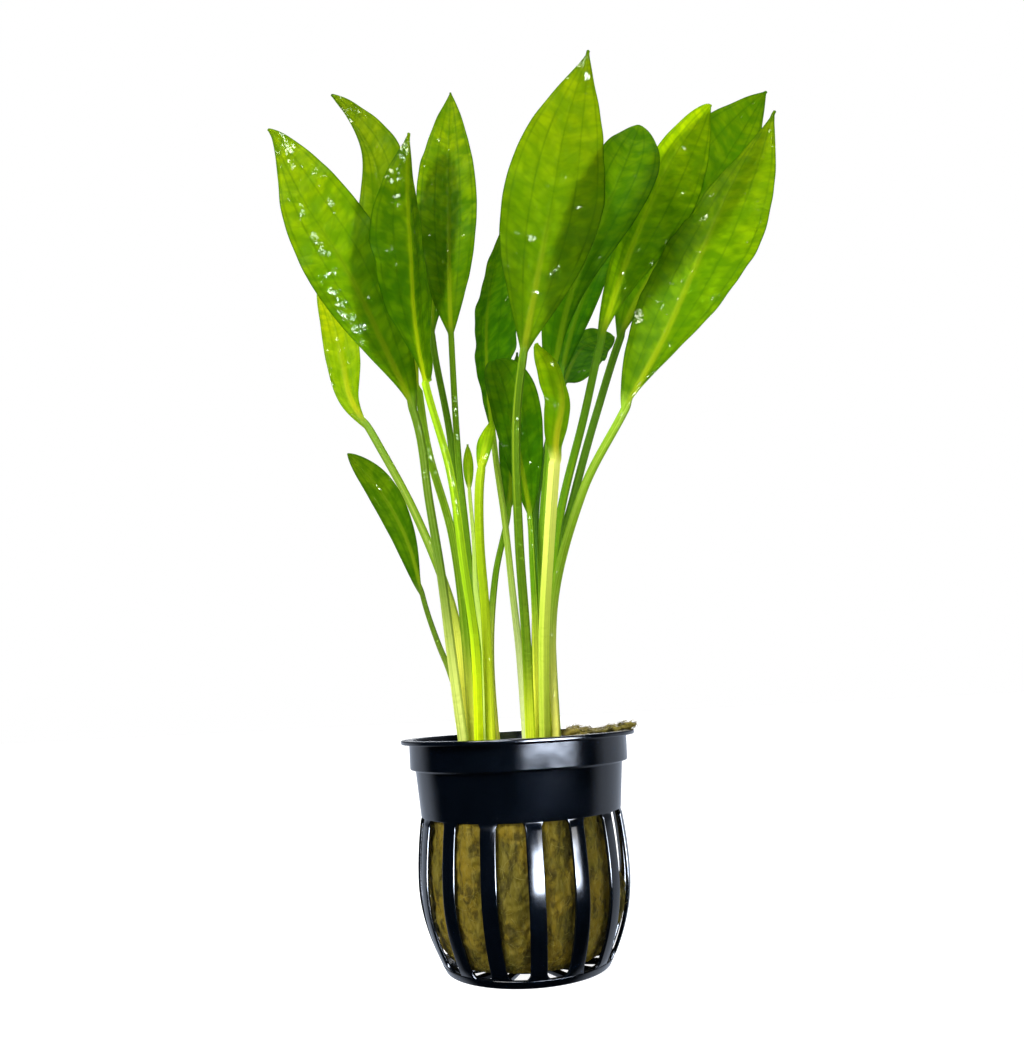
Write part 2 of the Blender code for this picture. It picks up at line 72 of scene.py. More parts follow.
LEAVES = (
    # left crown, front row to back row
    Leaf("leaf_left_big", "left", (-2.6, -2.8),
         ((-14, -4.5, 66), (-15.5, -8, 84.5), (-17.5, -11.5, 102), (-19.5, -15.5, 120),
          (-26, -19, 137), (-33.5, -23, 154), (-42.5, -26, 170), (-50, -28.5, 187)),
         75, (8.8, 1.94, 1.74), (10.7, 1.08, 0.8), (0, 10), 8, (2.4, 1.9)),
    Leaf("leaf_left_folded", "left", (-0.2, -3.8),
         ((-8.5, -7.5, 68), (-10, -14, 86), (-12, -19, 106.5), (-16.5, -24, 126), (-18, -28, 139),
          (-18, -32, 151.5), (-18, -35.5, 164.5), (-17, -38, 177.5)),
         54, (9.1, 1.53, 1.19), (9, 0.5, 1.2), (-33, -33), -40, (2.3, 1.8)),
    Leaf("leaf_left_curled", "left", (2.6, -2.6),
         ((-6, -3.5, 61), (-6, -5.5, 77), (-6.5, -7, 92.5), (-6, -8, 105.5), (-4.5, -6.5, 114.5),
          (-2.5, -3, 123)),
         16, (2.2, 1, 0.8), (2.2, 1, 0.8), (20, 20), 20, (2.3, 2.2)),
    Leaf("leaf_left_low", "left", (-3.7, 0.2),
         ((-13, -0.5, 56), (-15, -1.5, 64), (-17, -3, 69.5), (-19.5, -5.5, 78), (-22.5, -10, 92),
          (-27.5, -13.5, 103), (-35, -17, 112.5)),
         38, (3.4, 0.82, 0.73), (3.9, 1.78, 0.78), (0, 15), 12, (1.9, 1.2)),
    Leaf("leaf_left_tall", "left", (-1.4, -0.4),
         ((-11, 0.5, 71), (-13, -3.5, 95), (-17.5, -10, 114.5), (-19.5, -14, 133),
          (-22.5, -17.5, 151.5), (-24.5, -20.5, 168), (-27.5, -22.5, 184), (-36.5, -23.5, 199)),
         76, (10.7, 0.82, 2.05), (7.1, 1.4, 0.76), (-5, -5), 10, (2.3, 1.8)),
    Leaf("leaf_left_newest", "left", (1.1, -0.7),
         ((-6.5, -1, 66), (-8, -2.5, 82), (-8, -3.5, 94), (-8.5, -4.5, 105.5), (-8.5, -4.5, 117)),
         12, (1.3, 1, 0.9), (1.3, 1, 0.9), (0, 0), 15, (2.3, 0.9)),
    Leaf("leaf_left_yellow", "left", (-2.9, 2.6),
         ((-12.5, 4.5, 66.5), (-15, 8.5, 81.5), (-24, 15.5, 106), (-35, 20, 128.5),
          (-41, 22, 139.5), (-43.5, 24, 151.5), (-46, 25, 163.5), (-50.5, 25.5, 175)),
         50, (4.6, 0.94, 0.76), (5.5, 1.82, 1.09), (0, -10), 8, (2.3, 2.1)),
    Leaf("leaf_left_back", "left", (-0.4, 2.2),
         ((-10, 5, 71), (-12, 5, 95), (-13, 3, 121), (-16.5, 1.5, 147), (-16, 2.5, 160.5),
          (-15.5, 3, 173.5), (-14, 4, 187), (-11.5, 5, 200)),
         55, (4.5, 0.89, 0.57), (6.5, 1.2, 0.65), (0, 0), 10, (2.2, 1.7)),
    Leaf("leaf_left_inner", "left", (2.3, 2),
         ((-8.5, 1.5, 71), (-10, 0.5, 97), (-11, -1, 114), (-11.5, -3, 144.5),
          (-11.5, -1.5, 162.5), (-11, -0.5, 181), (-10.5, 1, 199.5), (-9.5, 2.5, 218)),
         74, (8.7, 1.06, 1.06), (7.4, 1.03, 0.94), (0, 0), 10, (2.2, 1.5)),
    Leaf("leaf_left_dark", "left", (4, -0.2),
         ((-5.5, 2, 65.5), (-3.5, 5.5, 86), (0.5, 9, 103), (2.5, 12.5, 122.5), (5, 15.5, 148)),
         47, (3.7, 1, 1), (3.7, 1, 1), (0, 0), 12, (2.1, 1.5)),

    # right crown, front row to back row
    Leaf("leaf_right_big", "right", (-2.9, -2.3),
         ((3, -8.5, 69.5), (2.5, -15.5, 91), (3, -22, 114.5), (5, -27, 128), (9, -30.5, 145),
          (13, -33, 161.5), (17, -36, 178.5), (23, -39, 195)),
         71, (11, 1.44, 1.38), (12, 1.37, 1.16), (-8, -12), -12, (2.3, 1.9)),
    Leaf("leaf_right_pale", "right", (0, -3),
         ((7, -8, 69.5), (9, -13, 89), (11, -18.5, 106), (12, -20.5, 113.5), (13.5, -22, 121),
          (12, -23.5, 128.5), (8.5, -21.5, 134.5)),
         31, (4.7, 1, 0.65), (4.2, 0.7, 0.8), (-36, -30), -34, (2.6, 2.8)),
    Leaf("leaf_right_outer", "right", (2.9, -2.3),
         ((9.5, -5, 76), (17.5, -11, 102), (27.5, -15, 119), (38, -18, 136), (47.5, -20.5, 154.5),
          (57, -21.5, 172.5), (68, -23, 189.5)),
         82, (10, 1, 1.56), (11.6, 1.96, 1.27), (0, 26), -16, (2.3, 2)),
    Leaf("leaf_right_low", "right", (-1.2, -0.4),
         ((5.5, -2.5, 74.5), (5.5, -4, 88.5), (5.5, -5, 98), (4.5, -6.5, 107), (3, -8.5, 116.5),
          (1.5, -10, 126), (-1, -11, 135.5)),
         39, (4.4, 0.82, 0.32), (7.4, 0.95, 0.42), (0, 0), 6, (2.2, 1.5)),
    Leaf("leaf_right_tall", "right", (1.2, -0.7),
         ((9, -1, 74.5), (12.5, -2, 98), (19.5, -8, 121.5), (24.5, -13, 139), (30, -16, 153.5),
          (36.5, -18, 167.5), (44, -19.5, 181), (54, -20, 194)),
         68, (5, 0.88, 0.51), (10.1, 2.03, 1.18), (0, -8), -8, (2.3, 1.9)),
    Leaf("leaf_right_side", "right", (3.1, 0.7),
         ((10, 3, 81.5), (16.5, 2, 104), (23, -2, 123.5), (31.5, -9, 145), (41, -12, 159.5),
          (51, -14, 173), (60, -15.5, 186.5), (69, -16, 200)),
         74, (14, 1.2, 1.02), (7.4, 1.45, 1.04), (0, -12), 8, (2.3, 1.9)),
    Leaf("leaf_right_narrow", "right", (-3.6, 0.6),
         ((1.5, 2, 65.5), (0.5, 2, 82), (-0.5, 1.5, 99), (-2, -0.5, 115), (-3, 1.5, 136.5),
          (-2, 6.5, 157.5), (3, 13, 184)),
         66, (5.2, 1, 0.9), (10.3, 1, 0.9), (46, 40), -10, (2, 1.6)),
    Leaf("leaf_right_bent", "right", (0.3, 2),
         ((7.5, 0.5, 79.5), (8, -2, 93), (11.5, -10, 120), (13, -17, 131.5), (17, -23, 145.5),
          (23.5, -27, 159), (30, -29, 172), (35, -27, 184.5)),
         72, (8.3, 1.2, 0.66), (8, 2.6, 0.69), (0, 0), 8, (2.2, 1.8)),
    Leaf("leaf_right_back", "right", (2.6, 3.2),
         ((9, 4.5, 79.5), (11.5, 5, 104.5), (14, 4, 127), (18, 2, 145), (25, 0, 161.5),
          (34.5, -2, 177.5)),
         47, (5, 1, 1), (3.9, 1, 1), (0, 0), 10, (2.1, 1.6)),
    Leaf("leaf_right_short", "right", (-2.2, 2.9),
         ((6, 5.5, 80), (8, 11.5, 106.5), (13.5, 16.5, 129), (17.5, 20.5, 140.5), (22, 27.5, 151),
          (27, 37.5, 158.5), (35.5, 45, 163.5)),
         39, (5.1, 0.85, 0.3), (8.1, 0.4, 0.72), (10, 10), 8, (2, 1.4)),
)

# The tissue of each leaf: blade, its paler patches, its veins, the midrib low down, the stalk
# at the blade and at its foot, the share of the blade where the pale midrib ends, how many
# millimetres up the stalk the foot's colour fades out, and the record's slot. Each leaf's
# colours were matched under this stage's light, so besides the tissue's own colour they partly
# hold painted light and shade. A pale stalk foot is the tissue's own, but feet as bright as
# #FFFF60 are painted light, for light that doesn't reach down among the stalks.
Tissue = namedtuple("Tissue", "blade patch vein midrib stalk foot rib pale slot")
TISSUES = {
    "leaf_left_big": Tissue("#6F9403", "#96B003", "#2F5E03", "#89A00D", "#5C801D", "#D8E472",
                            0.7, 55, "leaf_green"),
    "leaf_left_folded": Tissue("#629003", "#92B403", "#386B03", "#C2D70D", "#A4D21E", "#E4FF18",
                               1.15, 45, "leaf_green"),
    "leaf_left_curled": Tissue("#9BC309", "#C0DD0F", "#679303", "#E7F32E", "#A2C216", "#D6E82F",
                               0.7, 50, "leaf_green"),
    "leaf_left_low": Tissue("#4C7403", "#6C8D06", "#285303", "#88A415", "#597A1E", "#9FB646",
                            1.0, 40, "leaf_green"),
    "leaf_left_tall": Tissue("#608003", "#859A06", "#345D03", "#859A14", "#7DAB1F", "#FFFF60",
                             0.7, 38, "leaf_green"),
    "leaf_left_newest": Tissue("#81A50A", "#A4BC0F", "#557B03", "#BDCD2E", "#BFD967", "#DCF078",
                               0.7, 50, "leaf_yellow_green"),
    "leaf_left_yellow": Tissue("#91AA03", "#B7C306", "#5F8803", "#C1C31A", "#668C23", "#F7F560",
                               0.7, 58, "leaf_yellow_green"),
    "leaf_left_back": Tissue("#3D6703", "#5B8103", "#1F4503", "#6D880D", "#65911E", "#B4DC32",
                             0.7, 50, "leaf_deep_green"),
    "leaf_left_inner": Tissue("#608603", "#8DA503", "#325E03", "#9DB314", "#729F1E", "#C8F028",
                              0.6, 40, "leaf_green"),
    "leaf_left_dark": Tissue("#376203", "#577D03", "#204403", "#6A820A", "#699B14", "#FFFF70",
                             0.7, 50, "leaf_deep_green"),
    "leaf_right_big": Tissue("#6F8F03", "#90A703", "#376203", "#9AAB17", "#537B13", "#E9FE37",
                             0.5, 31, "leaf_green"),
    "leaf_right_pale": Tissue("#87B003", "#A3C203", "#578303", "#DDD728", "#F8FE7F", "#C8DE49",
                              0.7, 90, "leaf_yellow_green"),
    "leaf_right_outer": Tissue("#6C9103", "#92AD03", "#356403", "#A3B914", "#88B328", "#FFFF78",
                               0.8, 46, "leaf_green"),
    "leaf_right_low": Tissue("#417403", "#618E03", "#275203", "#93AB10", "#629512", "#FFFF50",
                             0.7, 46, "leaf_deep_green"),
    "leaf_right_tall": Tissue("#85AD03", "#B6D003", "#457B03", "#C7E314", "#5A8C18", "#A0D222",
                              0.85, 42, "leaf_green"),
    "leaf_right_side": Tissue("#4A7703", "#6B8E03", "#275103", "#84A010", "#57831E", "#A0D222",
                              0.7, 40, "leaf_deep_green"),
    "leaf_right_narrow": Tissue("#3E6E03", "#5F8B03", "#214C03", "#8AA710", "#B6D548", "#D4E096",
                                0.7, 62, "leaf_deep_green"),
    "leaf_right_bent": Tissue("#447203", "#668E03", "#235003", "#799F10", "#6F9E1E", "#B9ED29",
                              0.85, 55, "leaf_green"),
    "leaf_right_back": Tissue("#346503", "#517B03", "#194303", "#61840D", "#50821E", "#8CBE22",
                              0.7, 40, "leaf_deep_green"),
    "leaf_right_short": Tissue("#2F5D03", "#4F7A03", "#163D03", "#587A0D", "#45721E", "#8CBE22",
                               0.7, 40, "leaf_deep_green"),
}

# Where the wet film is thick on a leaf: the share of the blade's length, the place across (-1 is
# the left margin, 1 the right one), and the film's length and width there in millimetres.
THICK_FILM = {
    "leaf_left_big": ((0.9, 0.35, 5, 2.2), (0.76, -0.75, 2, 1), (0.71, 0.5, 3, 1),
                      (0.58, -0.3, 5, 1.2), (0.38, -0.6, 8, 1.8), (-0.04, 0.6, 3, 0.8)),
    "leaf_left_folded": ((0.94, -0.6, 4, 2.5), (0.84, -0.6, 2.5, 2), (0.73, -0.47, 1.5, 1.2),
                         (0.65, -0.4, 1.2, 1.2), (0.54, -0.55, 1.5, 2), (-0.4, -0.3, 9, 0.5)),
    "leaf_left_curled": ((0.3, 0.5, 3, 0.8),),
    "leaf_left_tall": ((0.92, 0.6, 5, 1.2), (-0.21, 0.1, 4, 0.5)),
    "leaf_left_yellow": ((0.42, -0.9, 6, 0.7),),
    "leaf_left_inner": ((0.36, -0.15, 1, 1), (0.29, -0.3, 1.5, 1.5), (-0.26, 0.2, 6, 0.5)),
    "leaf_right_big": ((0.95, -0.5, 3, 1.5), (0.93, 0.5, 2, 1), (0.39, -0.31, 1, 1),
                       (0.39, 0.93, 1.5, 1), (-0.14, 0.2, 6, 0.6)),
    "leaf_right_pale": ((0.5, -0.9, 2, 1),),
    "leaf_right_outer": ((0.97, 0.7, 2, 1), (0.9, 0.8, 3, 1), (0.84, 0.8, 1.5, 1),
                         (0.63, -0.44, 1.5, 1), (0.29, -0.8, 2.5, 1.5), (0.07, 0.5, 6, 1)),
    "leaf_right_low": ((-0.1, 0, 5, 0.6), (0.5, -0.9, 3, 0.6)),
    "leaf_right_tall": ((0.36, 0.9, 1.5, 1.2), (0.5, 0.5, 1, 1)),
    "leaf_right_narrow": ((0.6, 0.6, 7, 0.6), (0.41, 0.66, 4, 0.6)),
    "leaf_right_bent": ((0.46, 0.94, 1.5, 1.2),),
}

CROWNS = {"left": (-8.6, -0.4), "right": (5.7, 0.0)}
HOLE_RADIUS = {"left": 6.2, "right": 6.0}
STALK_FOOT_HEIGHT = 37.5
STALK_FLATTENING = 0.85      # a stalk's depth as a share of its width
MIDRIB_SINK = 0.45           # share of the stalk's depth that sinks into the blade
MIDRIB_TAPER = 0.6           # share of the stalk's width that the midrib loses by the tip
MIN_HALF_WIDTH = 0.25
STALK_STEP = 1.6             # between two rings of a stalk
BLADE_ROWS = 120             # rings of a blade
FRONT_POINTS = 29            # points of a ring across the front
VEIN_PITCH = 0.29            # between two furrows, as a share of a half's width
VEIN_WIDTH = 0.45
VEIN_DEPTH = 0.09
FULL_HALF = 9.0              # a half this wide has waves and puckers of full height

# ---- the pot, in millimetres ------------------------------------------------------
RIM_HEIGHT = 48.7
FLANGE_RADIUS = 26.5
FLANGE_THICKNESS = 0.9
FLANGE_LIP = 23.9
COLLAR_TOP_RADIUS = 24.7
COLLAR_FOOT_RADIUS = 24.6
COLLAR_FOOT_HEIGHT = 42.3
BAND_TOP_RADIUS = 23.4
BAND_TOP_HEIGHT = 42.1
SLOT_TOP_RADIUS = 22.4
SLOT_TOP_HEIGHT = 32.0
BELLY_RADIUS = 23.4
BELLY_HEIGHT = 19.0
FOOT_RADIUS = 17.9
FOOT_RING_HEIGHT = 1.7
FLOOR_THICKNESS = 1.2
FLOOR_RING_INNER = 15.8
HUB_RADIUS = 8.0
PINHOLE_RADIUS = 0.01        # the hub's profile stops this far from the axis
WALL = 1.0
RIBS = 15
RIB_THICKNESS = 0.8
RIB_FLARE = 0.8              # how far a rib widens, each side, where it meets a ring
RIB_SINK = 0.22              # how far a flat rib lies under the round band
FIRST_RIB = radians(5.9)     # from the front (-Y) towards the right (+X)
TURN_STEPS = 240             # facets of a turned ring

# ---- the rockwool, in millimetres ------------------------------------------------
PLUG_CENTRE_X = -0.5
PLUG_BOTTOM = 2.6
PLUG_TOP = 44.0
PLUG_RAISED_TOP = 48.6
PLUG_RISE_FROM_X = 8.0
PLUG_RISE_TO_X = 13.0
PLUG_TOP_RADIUS = 20.3
PLUG_SIDE = ((0.0, 0.06, 0.2, 0.42, 0.6, 0.75, 1.0),         # share of the height
             (16.6, 18.4, 20.5, 21.7, 21.1, 20.5, PLUG_TOP_RADIUS))
PLUG_EDGE = 1.0              # rounding of the top edge
PLUG_COLUMNS = 320           # points round the plug
HOLE_FLOOR = 37.0
SKIN_AREA = 0.0115           # of the plug's skin, in square metres
FIBRE_WIDTH = 0.11
SHORTEST_FIBRE = 0.35        # as a share of the fibre length in the settings


# ---- settings that a user would change -------------------------------------------
class PotSettings(bpy.types.PropertyGroup):
    ribs: IntProperty(name="Ribs", description="Ribs around the pot", default=RIBS, min=3)
    rib_width: FloatProperty(
        name="Rib Width", description="Width of one rib of the pot", default=3.4 * MM,
        subtype="DISTANCE", unit="LENGTH")
    spoke_width: FloatProperty(
        name="Spoke Width", description="Width of one spoke of the pot's floor",
        default=1.5 * MM, subtype="DISTANCE", unit="LENGTH")
    edge_radius: FloatProperty(
        name="Edge Radius", description="Rounding of the moulded edges", default=0.28 * MM,
        subtype="DISTANCE", unit="LENGTH")
    plastic: StringProperty(
        name="Plastic", description="Colour of the plastic, as an sRGB hex value",
        default="#010306")


class WoolSettings(bpy.types.PropertyGroup):
    lump_height: FloatProperty(
        name="Lump Height", description="Height of the lumps in the wool's surface",
        default=0.55 * MM, subtype="DISTANCE", unit="LENGTH")
    gap_bulge: FloatProperty(
        name="Gap Bulge", description="How far the wool bulges out between two ribs",
        default=1.2 * MM, subtype="DISTANCE", unit="LENGTH")
    fibres: IntProperty(
        name="Fibres", description="Loose fibres on the wool", default=5200, min=0)
    fibre_length: FloatProperty(
        name="Fibre Length", description="Length of one loose fibre", default=3.2 * MM,
        subtype="DISTANCE", unit="LENGTH")
    seed: IntProperty(name="Seed", description="Seed of the loose fibres", default=7)
    wool: StringProperty(
        name="Wool", description="Main colour of the wool, as an sRGB hex value",
        default="#544B10")
    pale_wool: StringProperty(
        name="Pale Wool", description="Colour of the dry strands, as an sRGB hex value",
        default="#857C3C")
    # the pits' colour is painted shade in the wool's hollows
    pit_shade: StringProperty(
        name="Dark Wool", description="Colour of the soaked pits, as an sRGB hex value",
        default="#1C1804")


class LeafSettings(bpy.types.PropertyGroup):
    thickness: FloatProperty(
        name="Blade Thickness", description="Thickness of a leaf's blade", default=0.45 * MM,
        subtype="DISTANCE", unit="LENGTH")
    wave_height: FloatProperty(
        name="Wave Height", description="Height of the waves in a blade's margin",
        default=0.7 * MM, subtype="DISTANCE", unit="LENGTH")
    wave_length: FloatProperty(
        name="Wave Length", description="Length of one wave in a blade's margin",
        default=17 * MM, subtype="DISTANCE", unit="LENGTH")
    wetness: FloatProperty(
        name="Wetness", description="Strength of the wet film on the leaves", default=1.0,
        min=0, max=1, subtype="FACTOR")
    glow: FloatProperty(
        name="Glow", description="Share of the light that goes through a leaf's skin",
        default=0.76, min=0, max=1, subtype="FACTOR")
    stalk_glow: FloatProperty(
        name="Stalk Glow", description="Share of the light that goes through a stalk's skin",
        default=0.15, min=0, max=1, subtype="FACTOR")


class StageSettings(bpy.types.PropertyGroup):
    floor_size: FloatProperty(
        name="Floor Size", description="Side of the square floor", default=6.0,
        subtype="DISTANCE", unit="LENGTH")
    floor_glow: FloatProperty(
        name="Floor Glow", description="Light that the back-lit floor gives by itself",
        default=0.97, min=0)
    key_power: FloatProperty(
        name="Key Power", description="Power of the large softbox", default=20.0,
        subtype="POWER", unit="POWER")
    room_light: FloatProperty(
        name="Room Light", description="Brightness of the room behind the plant",
        default=0.25, min=0)
    panel_light: FloatProperty(
        name="Panel Light", description="Brightness of the panel that shines through the leaves",
        default=44.0, min=0)


# ---- shared helpers --------------------------------------------------------------
def linear(colour):
    """An sRGB hex colour as linear RGBA."""
    channels = [int(colour[place:place + 2], 16) / 255 for place in (1, 3, 5)]
    return tuple(c / 12.92 if c <= 0.04045 else ((c + 0.055) / 1.055) ** 2.4
                 for c in channels) + (1.0,)


def add_node(tree, kind, inputs=None, **settings):
    """Add a node with its settings. An input takes a plain value, a socket, or a node, whose
    first output in use is linked."""
    node = tree.nodes.new(kind)
    for name, value in settings.items():
        setattr(node, name, value)
    for name, value in (inputs or {}).items():
        socket = node.inputs[name]
        if isinstance(name, str):
            socket = next(s for s in node.inputs if s.name == name and s.enabled)
        if isinstance(value, bpy.types.Node):
            value = next(s for s in value.outputs if s.enabled)
        if isinstance(value, bpy.types.NodeSocket):
            tree.links.new(value, socket)
        else:
            socket.default_value = value
    return node


def new_material(name, **values):
    """A material with one Principled shader, and its sockets set to the plain values given."""
    material = bpy.data.materials.new(name)
    material.use_nodes = True
    tree = material.node_tree
    shader = tree.nodes["Principled BSDF"]
    for key, value in values.items():
        shader.inputs[key.replace("_", " ").title().replace("Ior", "IOR")].default_value = value
    return material, tree, shader


def ease(value, start, end):
    """0 before start, 1 after end and a smooth step between them; numbers or arrays."""
    share = np.clip((np.asarray(value, float) - start) / (end - start), 0.0, 1.0)
    return share * share * (3 - 2 * share)


def around(radius, angle, height):
    """A point on a circle about the pot's axis, with the angle counted from the front."""
    return Vector((radius * sin(angle), -radius * cos(angle), height))


def face_outwards(mesh):
    """Turn the faces of a closed mesh outwards."""
    builder = bmesh.new()
    builder.from_mesh(mesh)
    bmesh.ops.recalc_face_normals(builder, faces=builder.faces)
    builder.to_mesh(mesh)
    builder.free()


def finish_piece(name, mesh, material, node):
    """Finish a mesh, make its object and tie it to the frame."""
    face_outwards(mesh)
    mesh.shade_smooth()
    mesh.materials.clear()
    mesh.materials.append(material)
    piece = bpy.data.objects.new(name, mesh)
    bpy.context.scene.collection.objects.link(piece)
    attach(piece, "root")
    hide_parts(node)


def plain_mesh(name, points, faces):
    """A mesh from points in millimetres."""
    mesh = bpy.data.meshes.new(name)
    mesh.from_pydata([tuple(Vector(p) * MM) for p in points], [], faces)
    return mesh


def join_meshes(name, *meshes):
    """One mesh from several."""
    builder = bmesh.new()
    for mesh in meshes:
        builder.from_mesh(mesh)
    joined = bpy.data.meshes.new(name)
    builder.to_mesh(joined)
    builder.free()
    return joined


def tube_faces(rings, count, ends=True):
    """The faces between rings of so many points each, with both ends closed or left open."""
    faces = []
    for row in range(rings - 1):
        for index in range(count):
            after = (index + 1) % count
            faces.append((row * count + index, row * count + after,
                          (row + 1) * count + after, (row + 1) * count + index))
    if ends:
        faces += [tuple(range(count)), tuple(range((rings - 1) * count, rings * count))]
    return faces


def new_tree(name, **inputs):
    """A Geometry Nodes tree with geometry in and out, and a named input of each kind given."""
    tree = bpy.data.node_groups.new(name, "GeometryNodeTree")
    for label, kind in dict(Geometry="Geometry", **inputs).items():
        tree.interface.new_socket(label.replace("_", " "), in_out="INPUT",
                                  socket_type="NodeSocket" + kind)
    tree.interface.new_socket("Geometry", in_out="OUTPUT", socket_type="NodeSocketGeometry")
    return tree


def run_tree(mesh, tree, **values):
    """The mesh that a Geometry Nodes tree makes of this mesh, as plain data."""
    carrier = bpy.data.objects.new("carrier", mesh)
    bpy.context.scene.collection.objects.link(carrier)
    modifier = carrier.modifiers.new("nodes", "NODES")
    modifier.node_group = tree
    names = {item.name: item.identifier for item in tree.interface.items_tree
             if item.in_out == "INPUT"}
    for name, value in values.items():
        modifier[names[name.replace("_", " ")]] = value
    depsgraph = bpy.context.evaluated_depsgraph_get()
    made = bpy.data.meshes.new_from_object(carrier.evaluated_get(depsgraph))
    bpy.data.objects.remove(carrier)
    return made


# ---- the pot ---------------------------------------------------------------------
def moulded_plastic(settings):
    """Black polypropylene, injection moulded: a near-black, faintly blue gloss whose
    reflections break up a little on the soft moulded skin."""
    material, tree, shader = new_material("moulded_polypropylene", ior=1.49)
    place = add_node(tree, "ShaderNodeTexCoord").outputs["Object"]
    cloud = add_node(tree, "ShaderNodeTexNoise", {"Vector": place, "Scale": 140.0, "Detail": 3.0})
    colour = add_node(tree, "ShaderNodeMix",
                      {"Factor": cloud, "A": linear(settings.plastic), "B": linear("#040810")},
                      data_type="RGBA")
    # the skin of the moulding ripples over about 4 mm and is pitted at about 0.4 mm
    ripple = add_node(tree, "ShaderNodeTexNoise", {"Vector": place, "Scale": 250.0, "Detail": 1.0})
    pits = add_node(tree, "ShaderNodeTexNoise", {"Vector": place, "Scale": 2500.0, "Detail": 2.0})
    height = add_node(tree, "ShaderNodeMath", {0: ripple, 1: 0.3}, operation="MULTIPLY")
    height = add_node(tree, "ShaderNodeMath", {0: pits, 1: 0.008, 2: height},
                      operation="MULTIPLY_ADD")
    bump = add_node(tree, "ShaderNodeBump",
                    {"Height": height, "Distance": 0.2 * MM, "Strength": 0.5})
    rough = add_node(tree, "ShaderNodeMapRange",
                     {"Value": cloud, "From Min": 0.3, "From Max": 0.7,
                      "To Min": 0.1, "To Max": 0.17})
    tree.links.new(colour.outputs[2], shader.inputs["Base Color"])
    tree.links.new(rough.outputs[0], shader.inputs["Roughness"])
    tree.links.new(bump.outputs[0], shader.inputs["Normal"])
    return material


def rib_radius(height):
    """Outer radius of a rib: two parabolas that meet at the belly."""
    if height < BELLY_HEIGHT:
        share = (BELLY_HEIGHT - height) / BELLY_HEIGHT
        return BELLY_RADIUS - (BELLY_RADIUS - FOOT_RADIUS) * share ** 2
    share = (height - BELLY_HEIGHT) / (SLOT_TOP_HEIGHT - BELLY_HEIGHT)
    return BELLY_RADIUS - (BELLY_RADIUS - SLOT_TOP_RADIUS) * share ** 2


def rounded(corners, radius, steps=4):
    """A closed polygon in (r, z) with each corner rounded by up to this radius."""
    line = []
    for index, corner in enumerate(corners):
        here = Vector(corner)
        before = Vector(corners[index - 1]) - here
        after = Vector(corners[(index + 1) % len(corners)]) - here
        cut = min(radius, before.length * 0.45, after.length * 0.45)
        start, end = here + before.normalized() * cut, here + after.normalized() * cut
        for step in range(steps + 1):
            share = step / steps
            line.append(start.lerp(here, share).lerp(here.lerp(end, share), share))
    return line


def turned(profile, steps):
    """A closed profile in (r, z) turned about the pot's axis: points and faces."""
    points, faces = [], []
    for step in range(steps):
        points += [around(p.x, 2 * pi * step / steps, p.y) for p in profile]
    count = len(profile)
    for step in range(steps):
        here, there = step * count, (step + 1) % steps * count
        for index in range(count):
            after = (index + 1) % count
            faces.append((here + index, there + index, there + after, here + after))
    return points, faces


def swept_bar(stations, edge):
    """A bar with rounded edges through stations of (r, z, across r, across z, width, depth),
    closed at both ends: the outer skin's place, the way inwards, and its two sizes."""
    crown = -0.06                # the outer side is a little rounded, as the pot is
    points = []
    for r, z, in_r, in_z, width, depth in stations:
        half, cut = width / 2, min(edge, depth * 0.45)
        ring = []
        for x, d in rounded([(-half, 0), (0, crown), (half, 0), (half, depth), (-half, depth)],
                            cut, 3):
            ring.append((r + in_r * d, x, z + in_z * d))
        points += ring
    return ([around(x, 0, z) + Vector((y, 0, 0)) for x, y, z in points],
            tube_faces(len(stations), len(ring)))


def repeat_round_tree():
    """A node tree that sets copies of its geometry round the Z axis."""
    tree = new_tree("repeat_round_axis", Count="Int", First_Angle="Float",
                    Material="Material")
    given = add_node(tree, "NodeGroupInput")
    spots = add_node(tree, "GeometryNodePoints", {"Count": given.outputs["Count"]})
    number = add_node(tree, "GeometryNodeInputIndex")
    pitch = add_node(tree, "ShaderNodeMath", {0: 2 * pi, 1: given.outputs["Count"]},
                     operation="DIVIDE")
    angle = add_node(tree, "ShaderNodeMath",
                     {0: number, 1: pitch, 2: given.outputs["First Angle"]},
                     operation="MULTIPLY_ADD")
    turn = add_node(tree, "ShaderNodeCombineXYZ", {"Z": angle})
    turn = add_node(tree, "FunctionNodeEulerToRotation", {"Euler": turn})
    copies = add_node(tree, "GeometryNodeInstanceOnPoints",
                      {"Points": spots, "Instance": given.outputs["Geometry"], "Rotation": turn})
    real = add_node(tree, "GeometryNodeRealizeInstances", {"Geometry": copies})
    painted = add_node(tree, "GeometryNodeSetMaterial",
                       {"Geometry": real, "Material": given.outputs["Material"]})
    add_node(tree, "NodeGroupOutput", {"Geometry": painted})
    return tree


def rib_stations(settings):
    """The rib from inside the foot ring to inside the band, flaring into both."""
    stations, steps = [], 48
    low, high = 0.55, SLOT_TOP_HEIGHT + 1.2
    for step in range(steps + 1):
        z = low + (high - low) * step / steps
        slope = (rib_radius(min(z + 0.1, SLOT_TOP_HEIGHT)) - rib_radius(z - 0.1)) / 0.2
        radius = rib_radius(min(z, SLOT_TOP_HEIGHT))
        reach = min(1, max(0.0, 1 - abs(z - SLOT_TOP_HEIGHT) / RIB_FLARE,
                           1 - max(z - FOOT_RING_HEIGHT, 0) / RIB_FLARE))
        width = settings.rib_width / MM + 2 * RIB_FLARE * (1 - sqrt(1 - reach ** 2))
        if z > SLOT_TOP_HEIGHT:
            # inside the band, which leans outwards above the slots
            lean = (BAND_TOP_RADIUS - SLOT_TOP_RADIUS) / (BAND_TOP_HEIGHT - SLOT_TOP_HEIGHT)
            radius += (z - SLOT_TOP_HEIGHT) * lean - 0.1
            slope = 0.1
            width = settings.rib_width / MM + 2 * RIB_FLARE
        inwards = Vector((-1.0, slope)).normalized()
        stations.append((radius - RIB_SINK * reach, z, inwards.x, inwards.y, width,
                         RIB_THICKNESS))
    return stations


